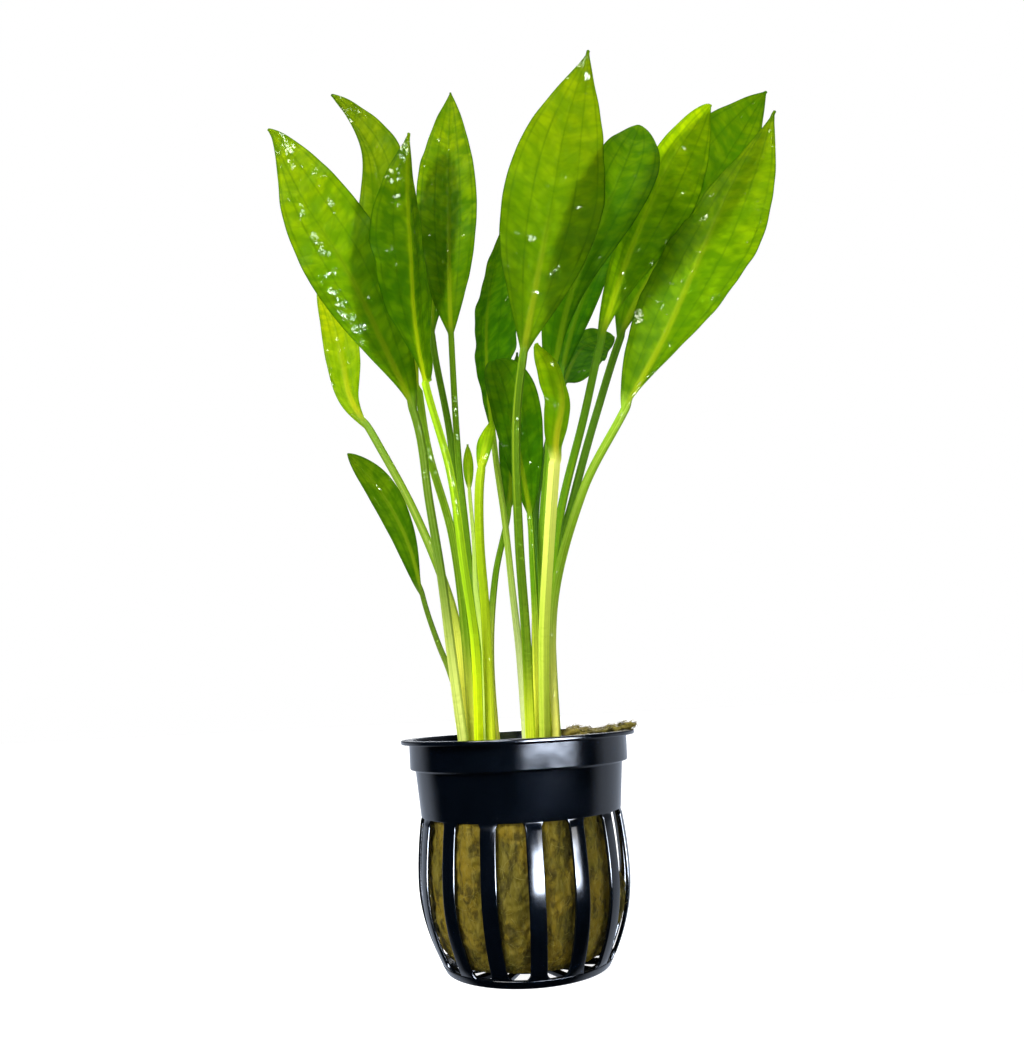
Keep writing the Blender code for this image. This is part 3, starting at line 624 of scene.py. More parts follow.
class SWORDPLANT_OT_pot(bpy.types.Operator):
    """Make the net pot: turned rim, band, foot ring and hub, with ribs and spokes set round"""
    bl_idname = "sword_plant.pot"
    bl_label = "Net Pot"

    def execute(self, context):
        settings = context.scene.sword_pot
        plastic = moulded_plastic(settings)
        edge = settings.edge_radius / MM
        under = RIM_HEIGHT - FLANGE_THICKNESS
        rim = rounded([
            (SLOT_TOP_RADIUS, SLOT_TOP_HEIGHT), (BAND_TOP_RADIUS, BAND_TOP_HEIGHT),
            (COLLAR_FOOT_RADIUS, COLLAR_FOOT_HEIGHT), (COLLAR_TOP_RADIUS, under),
            (FLANGE_RADIUS, under), (FLANGE_RADIUS, RIM_HEIGHT), (FLANGE_LIP, RIM_HEIGHT),
            (COLLAR_TOP_RADIUS - WALL, RIM_HEIGHT - 0.4), (COLLAR_TOP_RADIUS - WALL, under),
            (BAND_TOP_RADIUS - WALL, COLLAR_FOOT_HEIGHT + WALL),
            (BAND_TOP_RADIUS - WALL, BAND_TOP_HEIGHT),
            (SLOT_TOP_RADIUS - RIB_THICKNESS, SLOT_TOP_HEIGHT)], edge)
        foot = rounded([
            (FLOOR_RING_INNER, 0.0), (FOOT_RADIUS, 0.0),
            (rib_radius(FOOT_RING_HEIGHT), FOOT_RING_HEIGHT),
            (rib_radius(FOOT_RING_HEIGHT) - RIB_THICKNESS, FOOT_RING_HEIGHT),
            (FOOT_RADIUS - RIB_THICKNESS, FLOOR_THICKNESS), (FLOOR_RING_INNER, FLOOR_THICKNESS)],
            edge)
        hub = rounded([
            (PINHOLE_RADIUS, 0.0), (HUB_RADIUS, 0.0), (HUB_RADIUS, FLOOR_THICKNESS),
            (PINHOLE_RADIUS, FLOOR_THICKNESS)], edge)
        parts = [plain_mesh("turned", *turned(profile, TURN_STEPS))
                 for profile in (rim, foot, hub)]
        # a spoke runs from inside the hub to inside the foot ring, just under their top faces
        spoke = [(r, 0.05, 0.0, 1.0, settings.spoke_width / MM, FLOOR_THICKNESS - 0.1)
                 for r in np.linspace(HUB_RADIUS - 0.6, FLOOR_RING_INNER + 0.8, 9)]
        tree = repeat_round_tree()
        for stations in (rib_stations(settings), spoke):
            bar = plain_mesh("bar", *swept_bar(stations, edge))
            parts.append(run_tree(bar, tree, Count=settings.ribs, First_Angle=FIRST_RIB,
                                  Material=plastic))
        finish_piece("pot", join_meshes("pot", *parts), plastic, "net_pot")
        return {"FINISHED"}


# ---- the rockwool ----------------------------------------------------------------
def wet_rockwool(settings, name, paleness):
    """Mineral wool, spun from melted rock and wet through: matt, matted strands of dull olive
    brown between paler dry strands, with painted shade that darkens the hollows where the bump is
    lowest."""
    material, tree, shader = new_material(
        name, roughness=0.75, ior=1.4, specular_ior_level=0.15)
    place = add_node(tree, "ShaderNodeTexCoord").outputs["Object"]
    # strands run mostly upright, about 0.3 mm wide and 3 mm long
    upright = add_node(tree, "ShaderNodeMapping", {"Vector": place, "Scale": (1.0, 1.0, 0.22)})
    strands = add_node(tree, "ShaderNodeTexNoise",
                       {"Vector": upright, "Scale": 1300.0, "Detail": 3.0, "Roughness": 0.55,
                        "Distortion": 0.8})
    # hollows in streaks 2 to 4 mm apart, darkened there as painted shade, and golden stains about
    # 8 mm across
    shaded = add_node(tree, "ShaderNodeMapping", {"Vector": place, "Scale": (1.0, 1.0, 0.5)})
    shaded = add_node(tree, "ShaderNodeTexNoise",
                      {"Vector": shaded, "Scale": 450.0, "Detail": 5.0, "Roughness": 0.65,
                       "Distortion": 0.5})
    stains = add_node(tree, "ShaderNodeTexNoise",
                      {"Vector": place, "Scale": 120.0, "Detail": 3.0, "Distortion": 0.6})
    pale = add_node(tree, "ShaderNodeMapRange",
                    {"Value": strands, "From Min": 0.45, "From Max": 0.75,
                     "To Min": paleness, "To Max": paleness + 0.35})
    # pits: painted shade, darkest where the streaks of the bump lie lowest
    pits, tint = (
        add_node(tree, "ShaderNodeMapRange",
                 {"Value": value, "From Min": start, "From Max": end,
                  "To Min": at_start, "To Max": at_end}, interpolation_type="SMOOTHSTEP")
        for value, start, end, at_start, at_end in (
            (shaded, 0.36, 0.54, 0.75, 0.0), (stains, 0.38, 0.62, 0.0, 1.0)))
    colour = linear(settings.wool)
    for share, tone in ((tint, "#6B5A12"), (pale, settings.pale_wool),
                        (pits, settings.pit_shade)):
        colour = add_node(tree, "ShaderNodeMix",
                          {"Factor": share, "A": colour, "B": linear(tone)}, data_type="RGBA")
    height = add_node(tree, "ShaderNodeMath", {0: strands, 1: shaded}, operation="ADD")
    bump = add_node(tree, "ShaderNodeBump",
                    {"Height": height, "Distance": 0.45 * MM, "Strength": 0.8})
    tree.links.new(colour.outputs[2], shader.inputs["Base Color"])
    tree.links.new(bump.outputs[0], shader.inputs["Normal"])
    return material


def plug_top(x):
    """Height of the wool's top: low on the left and middle, above the rim on the right."""
    return PLUG_TOP + (PLUG_RAISED_TOP - PLUG_TOP) * ease(x, PLUG_RISE_FROM_X, PLUG_RISE_TO_X)


def wool_radius(z, angle, settings):
    """The wool's side, pressed in by each rib and bulging between them; on the right it stands
    clear of the ribs above and leans out below."""
    share = (z - PLUG_BOTTOM) / (PLUG_TOP - PLUG_BOTTOM)
    radius = np.interp(share, *PLUG_SIDE)
    between = 0.5 - 0.5 * cos((angle - FIRST_RIB) * RIBS)
    right = max(sin(angle), 0.0) ** 6
    left = max(-sin(angle), 0.0) ** 4
    below = float(ease(z, 4, 9) * (1 - ease(z, 15, 20)))
    bulge = settings.gap_bulge / MM * float(ease(z, 2, 9) * (1 - ease(z, 31, 35)))
    return (radius + bulge * between * (1 - 0.8 * right) * (1 - 0.9 * left) - 0.5 * left
            + 1.6 * right * below * between
            - 1.8 * right * float(ease(z, 16, 20)))


def wool_surface(settings):
    """The wool's closed skin: bottom, side and top rings, with lumps and planting holes."""
    points = []
    rings = [("bottom", share) for share in np.linspace(0.06, 0.94, 8)]
    rings += [("side", share) for share in np.linspace(0.0, 1.0, 130)]
    rings += [("top", share) for share in np.linspace(0.97, 0.03, 44)]
    for kind, share in rings:
        for step in range(PLUG_COLUMNS):
            angle = 2 * pi * step / PLUG_COLUMNS
            if kind == "side":
                edge_x = PLUG_CENTRE_X + PLUG_TOP_RADIUS * sin(angle)
                z = PLUG_BOTTOM + (float(plug_top(edge_x)) - PLUG_EDGE - PLUG_BOTTOM) * share
                radius = wool_radius(z, angle, settings)
            elif kind == "bottom":
                radius = wool_radius(PLUG_BOTTOM, angle, settings) * share
                z = PLUG_BOTTOM - 0.3 * (1 - share)
            else:
                radius = wool_radius(PLUG_TOP, angle, settings) * share
                x = PLUG_CENTRE_X + radius * sin(angle)
                z = float(plug_top(x)) - PLUG_EDGE * max(0.0, (share - 0.9) / 0.1) ** 2
            points.append(around(radius, angle, z) + Vector((PLUG_CENTRE_X, 0, 0)))
    lump = settings.lump_height / MM
    for index, point in enumerate(points):
        kind = rings[index // PLUG_COLUMNS][0]
        normal = Vector((0, 0, 1))
        if kind == "side":
            normal = Vector((point.x - PLUG_CENTRE_X, point.y, 0)).normalized()
        # lumps of about 5 and 1.5 mm, and upright strands about 0.5 mm wide
        slow = noise.noise(point * 0.22)
        mid = noise.noise(point * 0.7 + Vector((9, 2, 4)))
        fine = noise.noise(Vector((point.x * 2.2, point.y * 2.2, point.z * 0.7)))
        fade = 1.0 if kind != "bottom" else 0.4
        shift = lump * fade * (slow + 0.8 * mid + 0.55 * fine)
        if kind == "side" and PLUG_BOTTOM + 28 < point.z < 49:
            shift = min(shift, 0.5)      # the band and collar hold the wool in
        point += normal * shift
        for crown, (x, y) in CROWNS.items():
            gap = sqrt((point.x - x) ** 2 + (point.y - y) ** 2) / HOLE_RADIUS[crown]
            if kind == "top" and gap < 1.25:
                floor = HOLE_FLOOR + 0.6 * mid
                point.z += (floor - point.z) * (1 - float(ease(gap, 0.86, 1.2)))
    faces = tube_faces(len(rings), PLUG_COLUMNS, ends=False)
    for first in (0, (len(rings) - 1) * PLUG_COLUMNS):
        ring = points[first:first + PLUG_COLUMNS]
        points.append(sum(ring, Vector()) / PLUG_COLUMNS)
        for step in range(PLUG_COLUMNS):
            faces.append((first + step, first + (step + 1) % PLUG_COLUMNS, len(points) - 1))
    return points, faces


def wool_looseness(point):
    """How thickly loose fibres stand here: none underneath, most on the raised right side."""
    if point.z < PLUG_BOTTOM + 0.5:
        return 0.0
    right = float(ease(point.x, 8, 16)) * float(ease(point.z, 46, 48.5))
    return 0.7 + 2.5 * right


def wool_tuft():
    """A torn tuft of the wool, which lies on the raised side and sticks out over the flange."""
    route = smooth_route(((10.4, -5, 48.4), (13, -4.5, 48.9), (16, -3, 48.5), (20, -2, 48.7),
                          (24, -1, 49.2), (27.4, -0.5, 49.8)), 12)
    points, columns = [], 18
    for row, spot in enumerate(route):
        share = row / (len(route) - 1)
        end = sqrt(max(1 - (2 * share - 1) ** 8, 0.0))
        across = np.interp(share, (0, 0.5, 0.85, 1), (4.2, 4.2, 2.6, 1.4)) * end
        high = np.interp(share, (0, 0.2, 0.5, 0.85, 1), (0.9, 1.0, 0.5, 0.8, 0.5)) * end
        for step in range(columns):
            turn = 2 * pi * step / columns
            point = Vector(spot) + Vector((0, across * cos(turn), high * sin(turn)))
            shift = noise.noise(point * 0.8) * 0.7 + noise.noise(point * 2.1) * 0.35
            points.append(point + Vector((0.3 * shift, 0.5 * shift, shift)) * end)
    return points, tube_faces(len(route), columns)


def fibre(length, width, steps=5):
    """One loose fibre: a thin curled strand with three sides, lying along X, whose far end is
    thinner and lifts off the wool."""
    points, sides = [], 3
    for step in range(steps):
        share = step / (steps - 1)
        curl = 0.22 * length * sin(share * pi * 0.9)
        lift = 0.16 * length * share ** 2 - 0.02 * length
        radius = width / 2 * (1 - 0.5 * share)
        for corner in range(sides):
            turn = 2 * pi * corner / sides
            points.append(((share - 0.5) * length, curl + radius * cos(turn),
                           lift + radius * sin(turn)))
    return points, tube_faces(steps, sides)


def scatter_tree(strand):
    """A node tree that scatters copies of a strand over a surface, laid flat on it."""
    tree = new_tree("scatter_strands", Density="Float", Shortest="Float", Longest="Float",
                    Seed="Int", Material="Material")
    given = add_node(tree, "NodeGroupInput")
    weight = add_node(tree, "GeometryNodeInputNamedAttribute", {"Name": "loose"},
                      data_type="FLOAT")
    density = add_node(tree, "ShaderNodeMath", {0: weight, 1: given.outputs["Density"]},
                       operation="MULTIPLY")
    spots = add_node(tree, "GeometryNodeDistributePointsOnFaces",
                     {"Mesh": given.outputs["Geometry"], "Density": density,
                      "Seed": given.outputs["Seed"]})
    lean = add_node(tree, "FunctionNodeRandomValue",
                    {"Min": (-0.3, -0.3, 0.0), "Max": (0.3, 0.3, 2 * pi),
                     "Seed": given.outputs["Seed"]}, data_type="FLOAT_VECTOR")
    spin = add_node(tree, "FunctionNodeEulerToRotation", {"Euler": lean})
    turn = add_node(tree, "FunctionNodeRotateRotation",
                    {"Rotation": spots.outputs["Rotation"], "Rotate By": spin},
                    rotation_space="LOCAL")
    size = add_node(tree, "FunctionNodeRandomValue",
                    {"Min": given.outputs["Shortest"], "Max": given.outputs["Longest"],
                     "Seed": given.outputs["Seed"]}, data_type="FLOAT")
    source = add_node(tree, "GeometryNodeObjectInfo", {"Object": strand})
    copies = add_node(tree, "GeometryNodeInstanceOnPoints",
                      {"Points": spots.outputs["Points"], "Instance": source.outputs["Geometry"],
                       "Rotation": turn, "Scale": size})
    real = add_node(tree, "GeometryNodeRealizeInstances", {"Geometry": copies})
    painted = add_node(tree, "GeometryNodeSetMaterial",
                       {"Geometry": real, "Material": given.outputs["Material"]})
    add_node(tree, "NodeGroupOutput", {"Geometry": painted})
    return tree


class SWORDPLANT_OT_rockwool(bpy.types.Operator):
    """Make the rockwool plug and the loose fibres that stand off it"""
    bl_idname = "sword_plant.rockwool"
    bl_label = "Rockwool"

    def execute(self, context):
        settings = context.scene.sword_wool
        wool = wet_rockwool(settings, "wet_rockwool", 0.0)
        strands = wet_rockwool(settings, "dry_rockwool_strands", 0.55)
        torn = wet_rockwool(settings, "torn_rockwool", 0.4)
        points, faces = wool_surface(settings)
        skin = plain_mesh("wool_skin", points, faces)
        face_outwards(skin)
        tuft = plain_mesh("tuft", *wool_tuft())
        strand = bpy.data.objects.new(
            "strand", plain_mesh("strand", *fibre(settings.fibre_length / MM, FIBRE_WIDTH)))
        bpy.context.scene.collection.objects.link(strand)
        tree = scatter_tree(strand)
        covers = []
        for mesh, weights, crowding, longest in (
                (skin, [wool_looseness(point) for point in points], 1, 1.2),
                (tuft, [1.0] * len(tuft.vertices), 5, 1.1)):
            loose = mesh.attributes.new("loose", "FLOAT", "POINT")
            loose.data.foreach_set("value", weights)
            covers.append(run_tree(
                mesh.copy(), tree, Density=crowding * settings.fibres / SKIN_AREA,
                Shortest=SHORTEST_FIBRE, Longest=longest, Seed=settings.seed, Material=strands))
            mesh.attributes.remove(mesh.attributes["loose"])
        bpy.data.objects.remove(strand)
        fibres, fringe = covers
        for name, mesh, material in (
                ("rockwool", skin, wool), ("rockwool_fibres", fibres, strands),
                ("rockwool_tuft", join_meshes("tuft", tuft, fringe), torn)):
            finish_piece(name, mesh, material, "rockwool_plug")
        return {"FINISHED"}


# ---- the leaves ------------------------------------------------------------------
def smooth_route(points, steps=24):
    """A smooth curve through the points, as a fine polyline."""
    knots = np.asarray(points, float)
    before = np.vstack((knots[:1], knots[:-1]))
    after = np.vstack((knots[1:], knots[-1:]))
    span = (np.linalg.norm(knots - before, axis=1) + np.linalg.norm(after - knots, axis=1))
    slopes = (after - before) / span[:, None]
    line = []
    for index in range(len(knots) - 1):
        start, end = knots[index], knots[index + 1]
        reach = np.linalg.norm(end - start) / 3
        near, far = start + slopes[index] * reach, end - slopes[index + 1] * reach
        for share in np.linspace(0, 1, steps, endpoint=False):
            rest = 1 - share
            line.append(rest ** 3 * start + 3 * rest ** 2 * share * near
                        + 3 * rest * share ** 2 * far + share ** 3 * end)
    line.append(knots[-1])
    return np.array(line)


def half_width(half, share):
    """Width of one half of a blade at shares of the blade's length."""
    width, grow, close = half
    widest = grow / (grow + close)
    inside = np.clip(share, 1e-9, 1 - 1e-9)
    value = width * (inside / widest) ** grow * ((1 - inside) / (1 - widest)) ** close
    return np.where((share > 0) & (share < 1), value, 0.0)


def unit(vectors):
    """The vectors with a length of 1."""
    return vectors / np.linalg.norm(vectors, axis=-1, keepdims=True)


def leaf_mesh(leaf, settings, number):
    """A stalk and its blade as one closed skin. Rings run from the foot to the tip; each ring
    runs across the front from the left edge to the right one and back behind."""
    crown_x, crown_y = CROWNS[leaf.crown]
    foot = (crown_x + leaf.spot[0], crown_y + leaf.spot[1], STALK_FOOT_HEIGHT)
    line = smooth_route((foot,) + leaf.route)
    lengths = np.concatenate(([0], np.cumsum(np.linalg.norm(np.diff(line, axis=0), axis=1))))
    blade_start = lengths[-1] - leaf.blade
    stalk_stops = np.linspace(0, blade_start, ceil(blade_start / STALK_STEP), endpoint=False)
    blade_stops = blade_start + leaf.blade * (1 - (1 - np.linspace(0, 1, BLADE_ROWS)) ** 1.15)
    stops = np.concatenate((stalk_stops, blade_stops[:-1]))
    centre = np.column_stack([np.interp(stops, lengths, line[:, axis]) for axis in range(3)])
    direction = unit(np.gradient(centre, stops, axis=0))
    share = (stops - blade_start) / leaf.blade
    stalk_width = leaf.stalk[0] + (leaf.stalk[1] - leaf.stalk[0]) * ease(stops, 0, blade_start)
    stalk_width = stalk_width * (1 - MIDRIB_TAPER * np.maximum(share, 0))
    stalk_half = stalk_width / 2

    turn = np.radians(leaf.turn[0] + (leaf.turn[1] - leaf.turn[0]) * np.maximum(share, 0))
    side = unit(np.cross((0.0, 1.0, 0.0), direction))
    front = np.cross(side, direction)
    across = side * np.cos(turn)[:, None] + front * np.sin(turn)[:, None]
    outward = front * np.cos(turn)[:, None] - side * np.sin(turn)[:, None]
    left, right = half_width(leaf.left, share), half_width(leaf.right, share)
    # 0 where the leaf is a round stalk, 1 where it's a flat blade
    spread = ease((left + right) / 2, 0.6 * stalk_half, 2.2 * stalk_half)

    # places across the leaf: even round a stalk, and closer to the midrib on a blade
    even = np.linspace(-1, 1, FRONT_POINTS)
    on_stalk = np.sin(even * pi / 2)
    on_blade = np.sign(even) * np.abs(even) ** 1.5
    on_blade[[1, -2]] = (-0.985, 0.985)      # close to the margin, which stays crisp
    u = on_stalk * (1 - spread[:, None]) + on_blade * spread[:, None]
    reach = np.where(u < 0, np.maximum(left, stalk_half * (1 - spread))[:, None],
                     np.maximum(right, stalk_half * (1 - spread))[:, None])
    reach = np.maximum(reach, MIN_HALF_WIDTH)
    x = u * reach

    # the skin's height over the sheet, in front and behind
    rib = (stalk_half * STALK_FLATTENING)[:, None]
    s = spread[:, None]
    round_stalk = rib * np.sqrt(np.clip(1 - u ** 2, 0, 1))
    thickness = settings.thickness / MM / 2
    sheet = thickness * (1 - np.abs(u) ** 10) * (1 - 0.35 * np.abs(u))
    ridge = np.exp(-(x / (stalk_half[:, None] * 0.75)) ** 2)
    off_vein = np.mod(np.abs(u) + VEIN_PITCH / 2, VEIN_PITCH) - VEIN_PITCH / 2
    veins = VEIN_DEPTH * np.exp(-(off_vein * reach / VEIN_WIDTH) ** 2)
    veins = veins * ease(reach, 2.0, 5.0) * (1 - ridge)
    edge_fade = 1 - np.abs(u) ** 6
    blade_front = sheet + rib * (1 - MIDRIB_SINK) * 0.55 * ridge - veins * edge_fade
    blade_back = sheet + rib * (1 - MIDRIB_SINK) * 1.15 * ridge + veins * edge_fade
    # a stalk has a shallow channel in front and fine ridges all round
    channel = 0.16 * rib * np.exp(-(u / 0.38) ** 2)
    ridges = 0.035 * rib * np.cos(u * 3.5 * pi)
    front_height = (1 - s) * (round_stalk - channel + ridges) + s * blade_front
    back_height = (1 - s) * (round_stalk + ridges) + s * blade_back

    # the sheet itself: folded along the midrib, arched, and waved towards its margin
    fold = np.radians(leaf.fold) * spread
    vee = np.sqrt(x ** 2 + (0.9 * s) ** 2) - 0.9 * s
    arch = -0.055 * reach * s * np.abs(u) ** 2.2 * np.sign(leaf.fold or 1)
    phase = number * 2.4         # no two leaves wave alike
    wave_share = stops / (settings.wave_length / MM) * 2 * pi
    wave = (np.sin(wave_share + phase)[:, None] * np.where(u < 0, 1.0, 0.0)
            + np.sin(wave_share * 0.87 + phase * 1.7)[:, None] * np.where(u > 0, 1.0, 0.0))
    wave += 0.4 * np.sin(wave_share * 2.3 + phase * 0.6)[:, None]
    size = np.minimum(reach / FULL_HALF, 1.0)
    wave = settings.wave_height / MM * wave * np.abs(u) ** 2.5 * s * size
    pucker = 0.16 * s * size * np.sin(np.abs(u) * pi / VEIN_PITCH) ** 2 * (1 - np.abs(u) ** 4)
    pucker = pucker * np.sin(wave_share * 3.1 + phase + 9)[:, None]
    lift = vee * np.sin(fold)[:, None] + arch + wave + pucker
    spot = (centre[:, None, :] + across[:, None, :] * (x * np.cos(fold)[:, None])[..., None]
            + outward[:, None, :] * lift[..., None])
    front_skin = spot + outward[:, None, :] * front_height[..., None]
    back_skin = (spot - outward[:, None, :] * back_height[..., None])[:, -2:0:-1]
    skin = np.concatenate((front_skin, back_skin), axis=1)
    rows, columns = skin.shape[:2]
    points = np.concatenate((skin.reshape(-1, 3), [line[-1]]))

    faces = tube_faces(rows, columns, ends=False)
    last = (rows - 1) * columns
    faces += [(last + step, last + (step + 1) % columns, len(points) - 1)
              for step in range(columns)]
    faces.append(tuple(range(columns)))

    def over_skin(values):
        return np.concatenate((values, values[:, -2:0:-1]), axis=1).reshape(-1)

    wide = np.broadcast_to(reach, u.shape)
    where = np.column_stack((np.append(over_skin(u), 0),
                             np.append(np.repeat(share, columns), 1),
                             np.append(over_skin(wide), MIN_HALF_WIDTH)))
    stalk = np.append(np.repeat(np.where(share < 0.5, 1 - spread, 0), columns), 0)
    grain = np.column_stack((np.append(over_skin(x), 0),
                             np.append(np.repeat(stops, columns), lengths[-1])))
    return points, faces, where, stalk, grain


def thick_film(leaf, where):
    """How thick the wet film is at each point of a leaf, from 0 to 1."""
    across, along, reach = where.T
    film = np.zeros(len(where))
    for share, place, length, width in THICK_FILM.get(leaf.name, ()):
        off = (((along - share) * leaf.blade / length) ** 2
               + ((across - place) * reach / width) ** 2)
        film = np.maximum(film, np.exp(-off))
    return film


def leaf_tissue(leaf, tissue, settings, number):
    """Living leaf tissue, grown: thin and waxy, so light glows through it, with sunken arching
    veins, a faint net of cross veins, pale patches and a broken wet film on top."""
    material, tree, shader = new_material(leaf.name + "_tissue", ior=1.42,
                                          specular_ior_level=0.05)
    where = add_node(tree, "ShaderNodeAttribute", attribute_name="where").outputs["Vector"]
    where = add_node(tree, "ShaderNodeSeparateXYZ", {"Vector": where}).outputs
    thick = add_node(tree, "ShaderNodeAttribute", attribute_name="thick_film").outputs["Fac"]
    stalk = add_node(tree, "ShaderNodeAttribute", attribute_name="stalk").outputs["Fac"]
    grain = add_node(tree, "ShaderNodeUVMap", uv_map="grain")
    mm = add_node(tree, "ShaderNodeSeparateXYZ", {"Vector": grain}).outputs
    place = add_node(tree, "ShaderNodeTexCoord").outputs["Object"]
    side = add_node(tree, "ShaderNodeMath", {0: where["X"]}, operation="ABSOLUTE")
    out = add_node(tree, "ShaderNodeMath", {0: mm["X"]}, operation="ABSOLUTE")

    # the way to the nearest long vein and to the margin, in millimetres: the three veins in each
    # half arch because they keep their share of the width
    near = add_node(tree, "ShaderNodeMath", {0: side, 1: 0.21}, operation="PINGPONG")
    near = add_node(tree, "ShaderNodeMath", {0: near, 1: where["Z"]}, operation="MULTIPLY")
    margin = add_node(tree, "ShaderNodeMath", {0: 1.0, 1: side}, operation="SUBTRACT")
    margin = add_node(tree, "ShaderNodeMath", {0: margin, 1: where["Z"]}, operation="MULTIPLY")

    # flat coordinates for the net of cross veins, which slant up and out from the midrib about
    # 3 mm apart, for the mottles between them, and for the long fibres in a stalk's skin
    slant = add_node(tree, "ShaderNodeMath", {0: out, 1: -0.45, 2: mm["Y"]},
                     operation="MULTIPLY_ADD")
    flat = []
    for across, across_scale, along, along_scale in (
            (mm["X"], 0.22, slant, 0.42), (mm["X"], 0.3, slant, 0.42),
            (where["X"], 3.2, mm["Y"], 0.022)):
        across = add_node(tree, "ShaderNodeMath", {0: across, 1: across_scale},
                          operation="MULTIPLY")
        along = add_node(tree, "ShaderNodeMath", {0: along, 1: along_scale},
                         operation="MULTIPLY")
        flat.append(add_node(tree, "ShaderNodeCombineXYZ",
                             {"X": across, "Y": along, "Z": float(number)}))
    cells = add_node(tree, "ShaderNodeTexVoronoi", {"Vector": flat[0], "Scale": 1.0},
                     feature="DISTANCE_TO_EDGE")
    grains = []
    for vector, scale, detail, roughness, distortion in (
            (place, 150.0, 3.0, 0.55, 0.0),      # pale patches, 4 to 9 mm across
            (place, 1100.0, 2.0, 0.5, 0.0),      # the skin's own grain, under 1 mm
            (flat[1], 1.0, 2.0, 0.5, 0.0),       # mottles of about 2 mm
            (flat[2], 1.0, 3.0, 0.5, 0.0),       # fibres of a stalk
            (place, 520.0, 2.0, 0.5, 0.4),       # ripples of the film, about 2 mm apart
            (place, 480.0, 2.0, 0.5, 0.0)):      # places where the film is broken
        grains.append(add_node(
            tree, "ShaderNodeTexNoise", {"Vector": vector, "Scale": scale, "Detail": detail,
                                         "Roughness": roughness, "Distortion": distortion}))
    patches, fine, mottles, fibres, ripples, breaks = grains
    breaks = add_node(tree, "ShaderNodeMath", {0: thick, 1: 0.28, 2: breaks},
                      operation="MULTIPLY_ADD")

    # each share below: its name, what it follows, from where to where, and its two ends
    share = {}
    for name, value, start, end, at_start, at_end, curve in (
            ("vein", near, 0.06, 0.34, 0.8, 0.0, "SMOOTHSTEP"),
            ("cross", cells, 0.02, 0.16, 1.0, 0.0, "LINEAR"),
            ("patch", patches, 0.38, 0.66, 0.0, 1.0, "LINEAR"),
            ("mottle", mottles, 0.42, 0.66, -0.15, 0.75, "LINEAR"),
            # a blade yellows towards its tip: lower down it's greener
            ("green", where["Y"], 0.35, 0.95, 1.0, 0.0, "SMOOTHSTEP"),
            # the margin is a thin dark line, 0.3 mm wide
            ("margin", margin, 0.1, 0.4, 0.8, 0.0, "LINEAR"),
            # the midrib is pale where it leaves the stalk and fades towards the tip
            ("midrib", out, 0.15 * leaf.stalk[1], 0.5 * leaf.stalk[1], 1.0, 0.0, "SMOOTHSTEP"),
            ("fade", where["Y"], 0.1, tissue.rib, 1.0, 0.0, "LINEAR"),
            # the stalk is pale where it rises from the wool: partly its own colour, partly painted
            # light where the foot's colour is brighter than the tissue
            ("foot", mm["Y"], 0.3 * tissue.pale, tissue.pale, 1.0, 0.0, "SMOOTHSTEP"),
            ("streak", fibres, 0.5, 0.66, 0.0, 0.5, "LINEAR"),
            ("thread", fibres, 0.5, 0.34, 0.0, 0.2, "LINEAR"),
            ("rough", patches, 0.0, 1.0, 0.3, 0.5, "LINEAR"),
            ("film", breaks, 0.68, 0.74, 0.0, settings.wetness, "LINEAR"),
            ("through", stalk, 0.0, 1.0, settings.glow, settings.stalk_glow, "LINEAR")):
        share[name] = add_node(
            tree, "ShaderNodeMapRange", {"Value": value, "From Min": start, "From Max": end,
                                         "To Min": at_start, "To Max": at_end},
            interpolation_type=curve)
    patch = add_node(tree, "ShaderNodeMath", {0: share["patch"], 1: 0.6, 2: share["mottle"]},
                     operation="MULTIPLY_ADD", use_clamp=True)
    # veins are stronger where the patches are pale, and the net is fainter than the veins
    net, strong, midrib = (
        add_node(tree, "ShaderNodeMath", {0: one, 1: other}, operation="MULTIPLY")
        for one, other in ((share["cross"], patches), (share["vein"], patches),
                           (share["midrib"], share["fade"])))
    faint = add_node(tree, "ShaderNodeMath", {0: net, 1: 0.45}, operation="MULTIPLY")

    # the colours of the stalk and of the blade, each laid over the last
    stem = linear(tissue.stalk)
    for cover, tint in ((share["foot"], tissue.foot), (share["streak"], tissue.blade),
                        (share["thread"], tissue.foot)):
        stem = add_node(tree, "ShaderNodeMix",
                        {"Factor": cover, "A": stem, "B": linear(tint)}, data_type="RGBA")
    colour = linear(tissue.blade)
    for cover, tint, blend in (
            (patch, linear(tissue.patch), "MIX"), (share["green"], linear("#D2F0FF"), "MULTIPLY"),
            (share["margin"], linear(tissue.vein), "MIX"), (faint, linear(tissue.vein), "MIX"),
            (strong, linear(tissue.vein), "MIX"), (midrib, linear(tissue.midrib), "MIX"),
            (stalk, stem, "MIX")):
        colour = add_node(tree, "ShaderNodeMix", {"Factor": cover, "A": colour, "B": tint},
                          data_type="RGBA", blend_type=blend)

    height = fine
    for furrow, depth in ((share["vein"], -0.6), (share["cross"], -0.5)):
        height = add_node(tree, "ShaderNodeMath", {0: furrow, 1: depth, 2: height},
                          operation="MULTIPLY_ADD")
    bump = add_node(tree, "ShaderNodeBump",
                    {"Height": height, "Distance": 0.12 * MM, "Strength": 0.7})
    tree.links.new(colour.outputs[2], shader.inputs["Base Color"])
    tree.links.new(share["rough"].outputs[0], shader.inputs["Roughness"])
    tree.links.new(bump.outputs[0], shader.inputs["Normal"])
    # light from behind passes both skins, so each takes the root of the tissue's colour
    skin = add_node(tree, "ShaderNodeGamma", {"Color": colour.outputs[2], "Gamma": 0.5})
    glow = add_node(tree, "ShaderNodeBsdfTranslucent", {"Color": skin})
    both = add_node(tree, "ShaderNodeMixShader",
                    {"Fac": share["through"], 1: shader.outputs[0], 2: glow.outputs[0]})
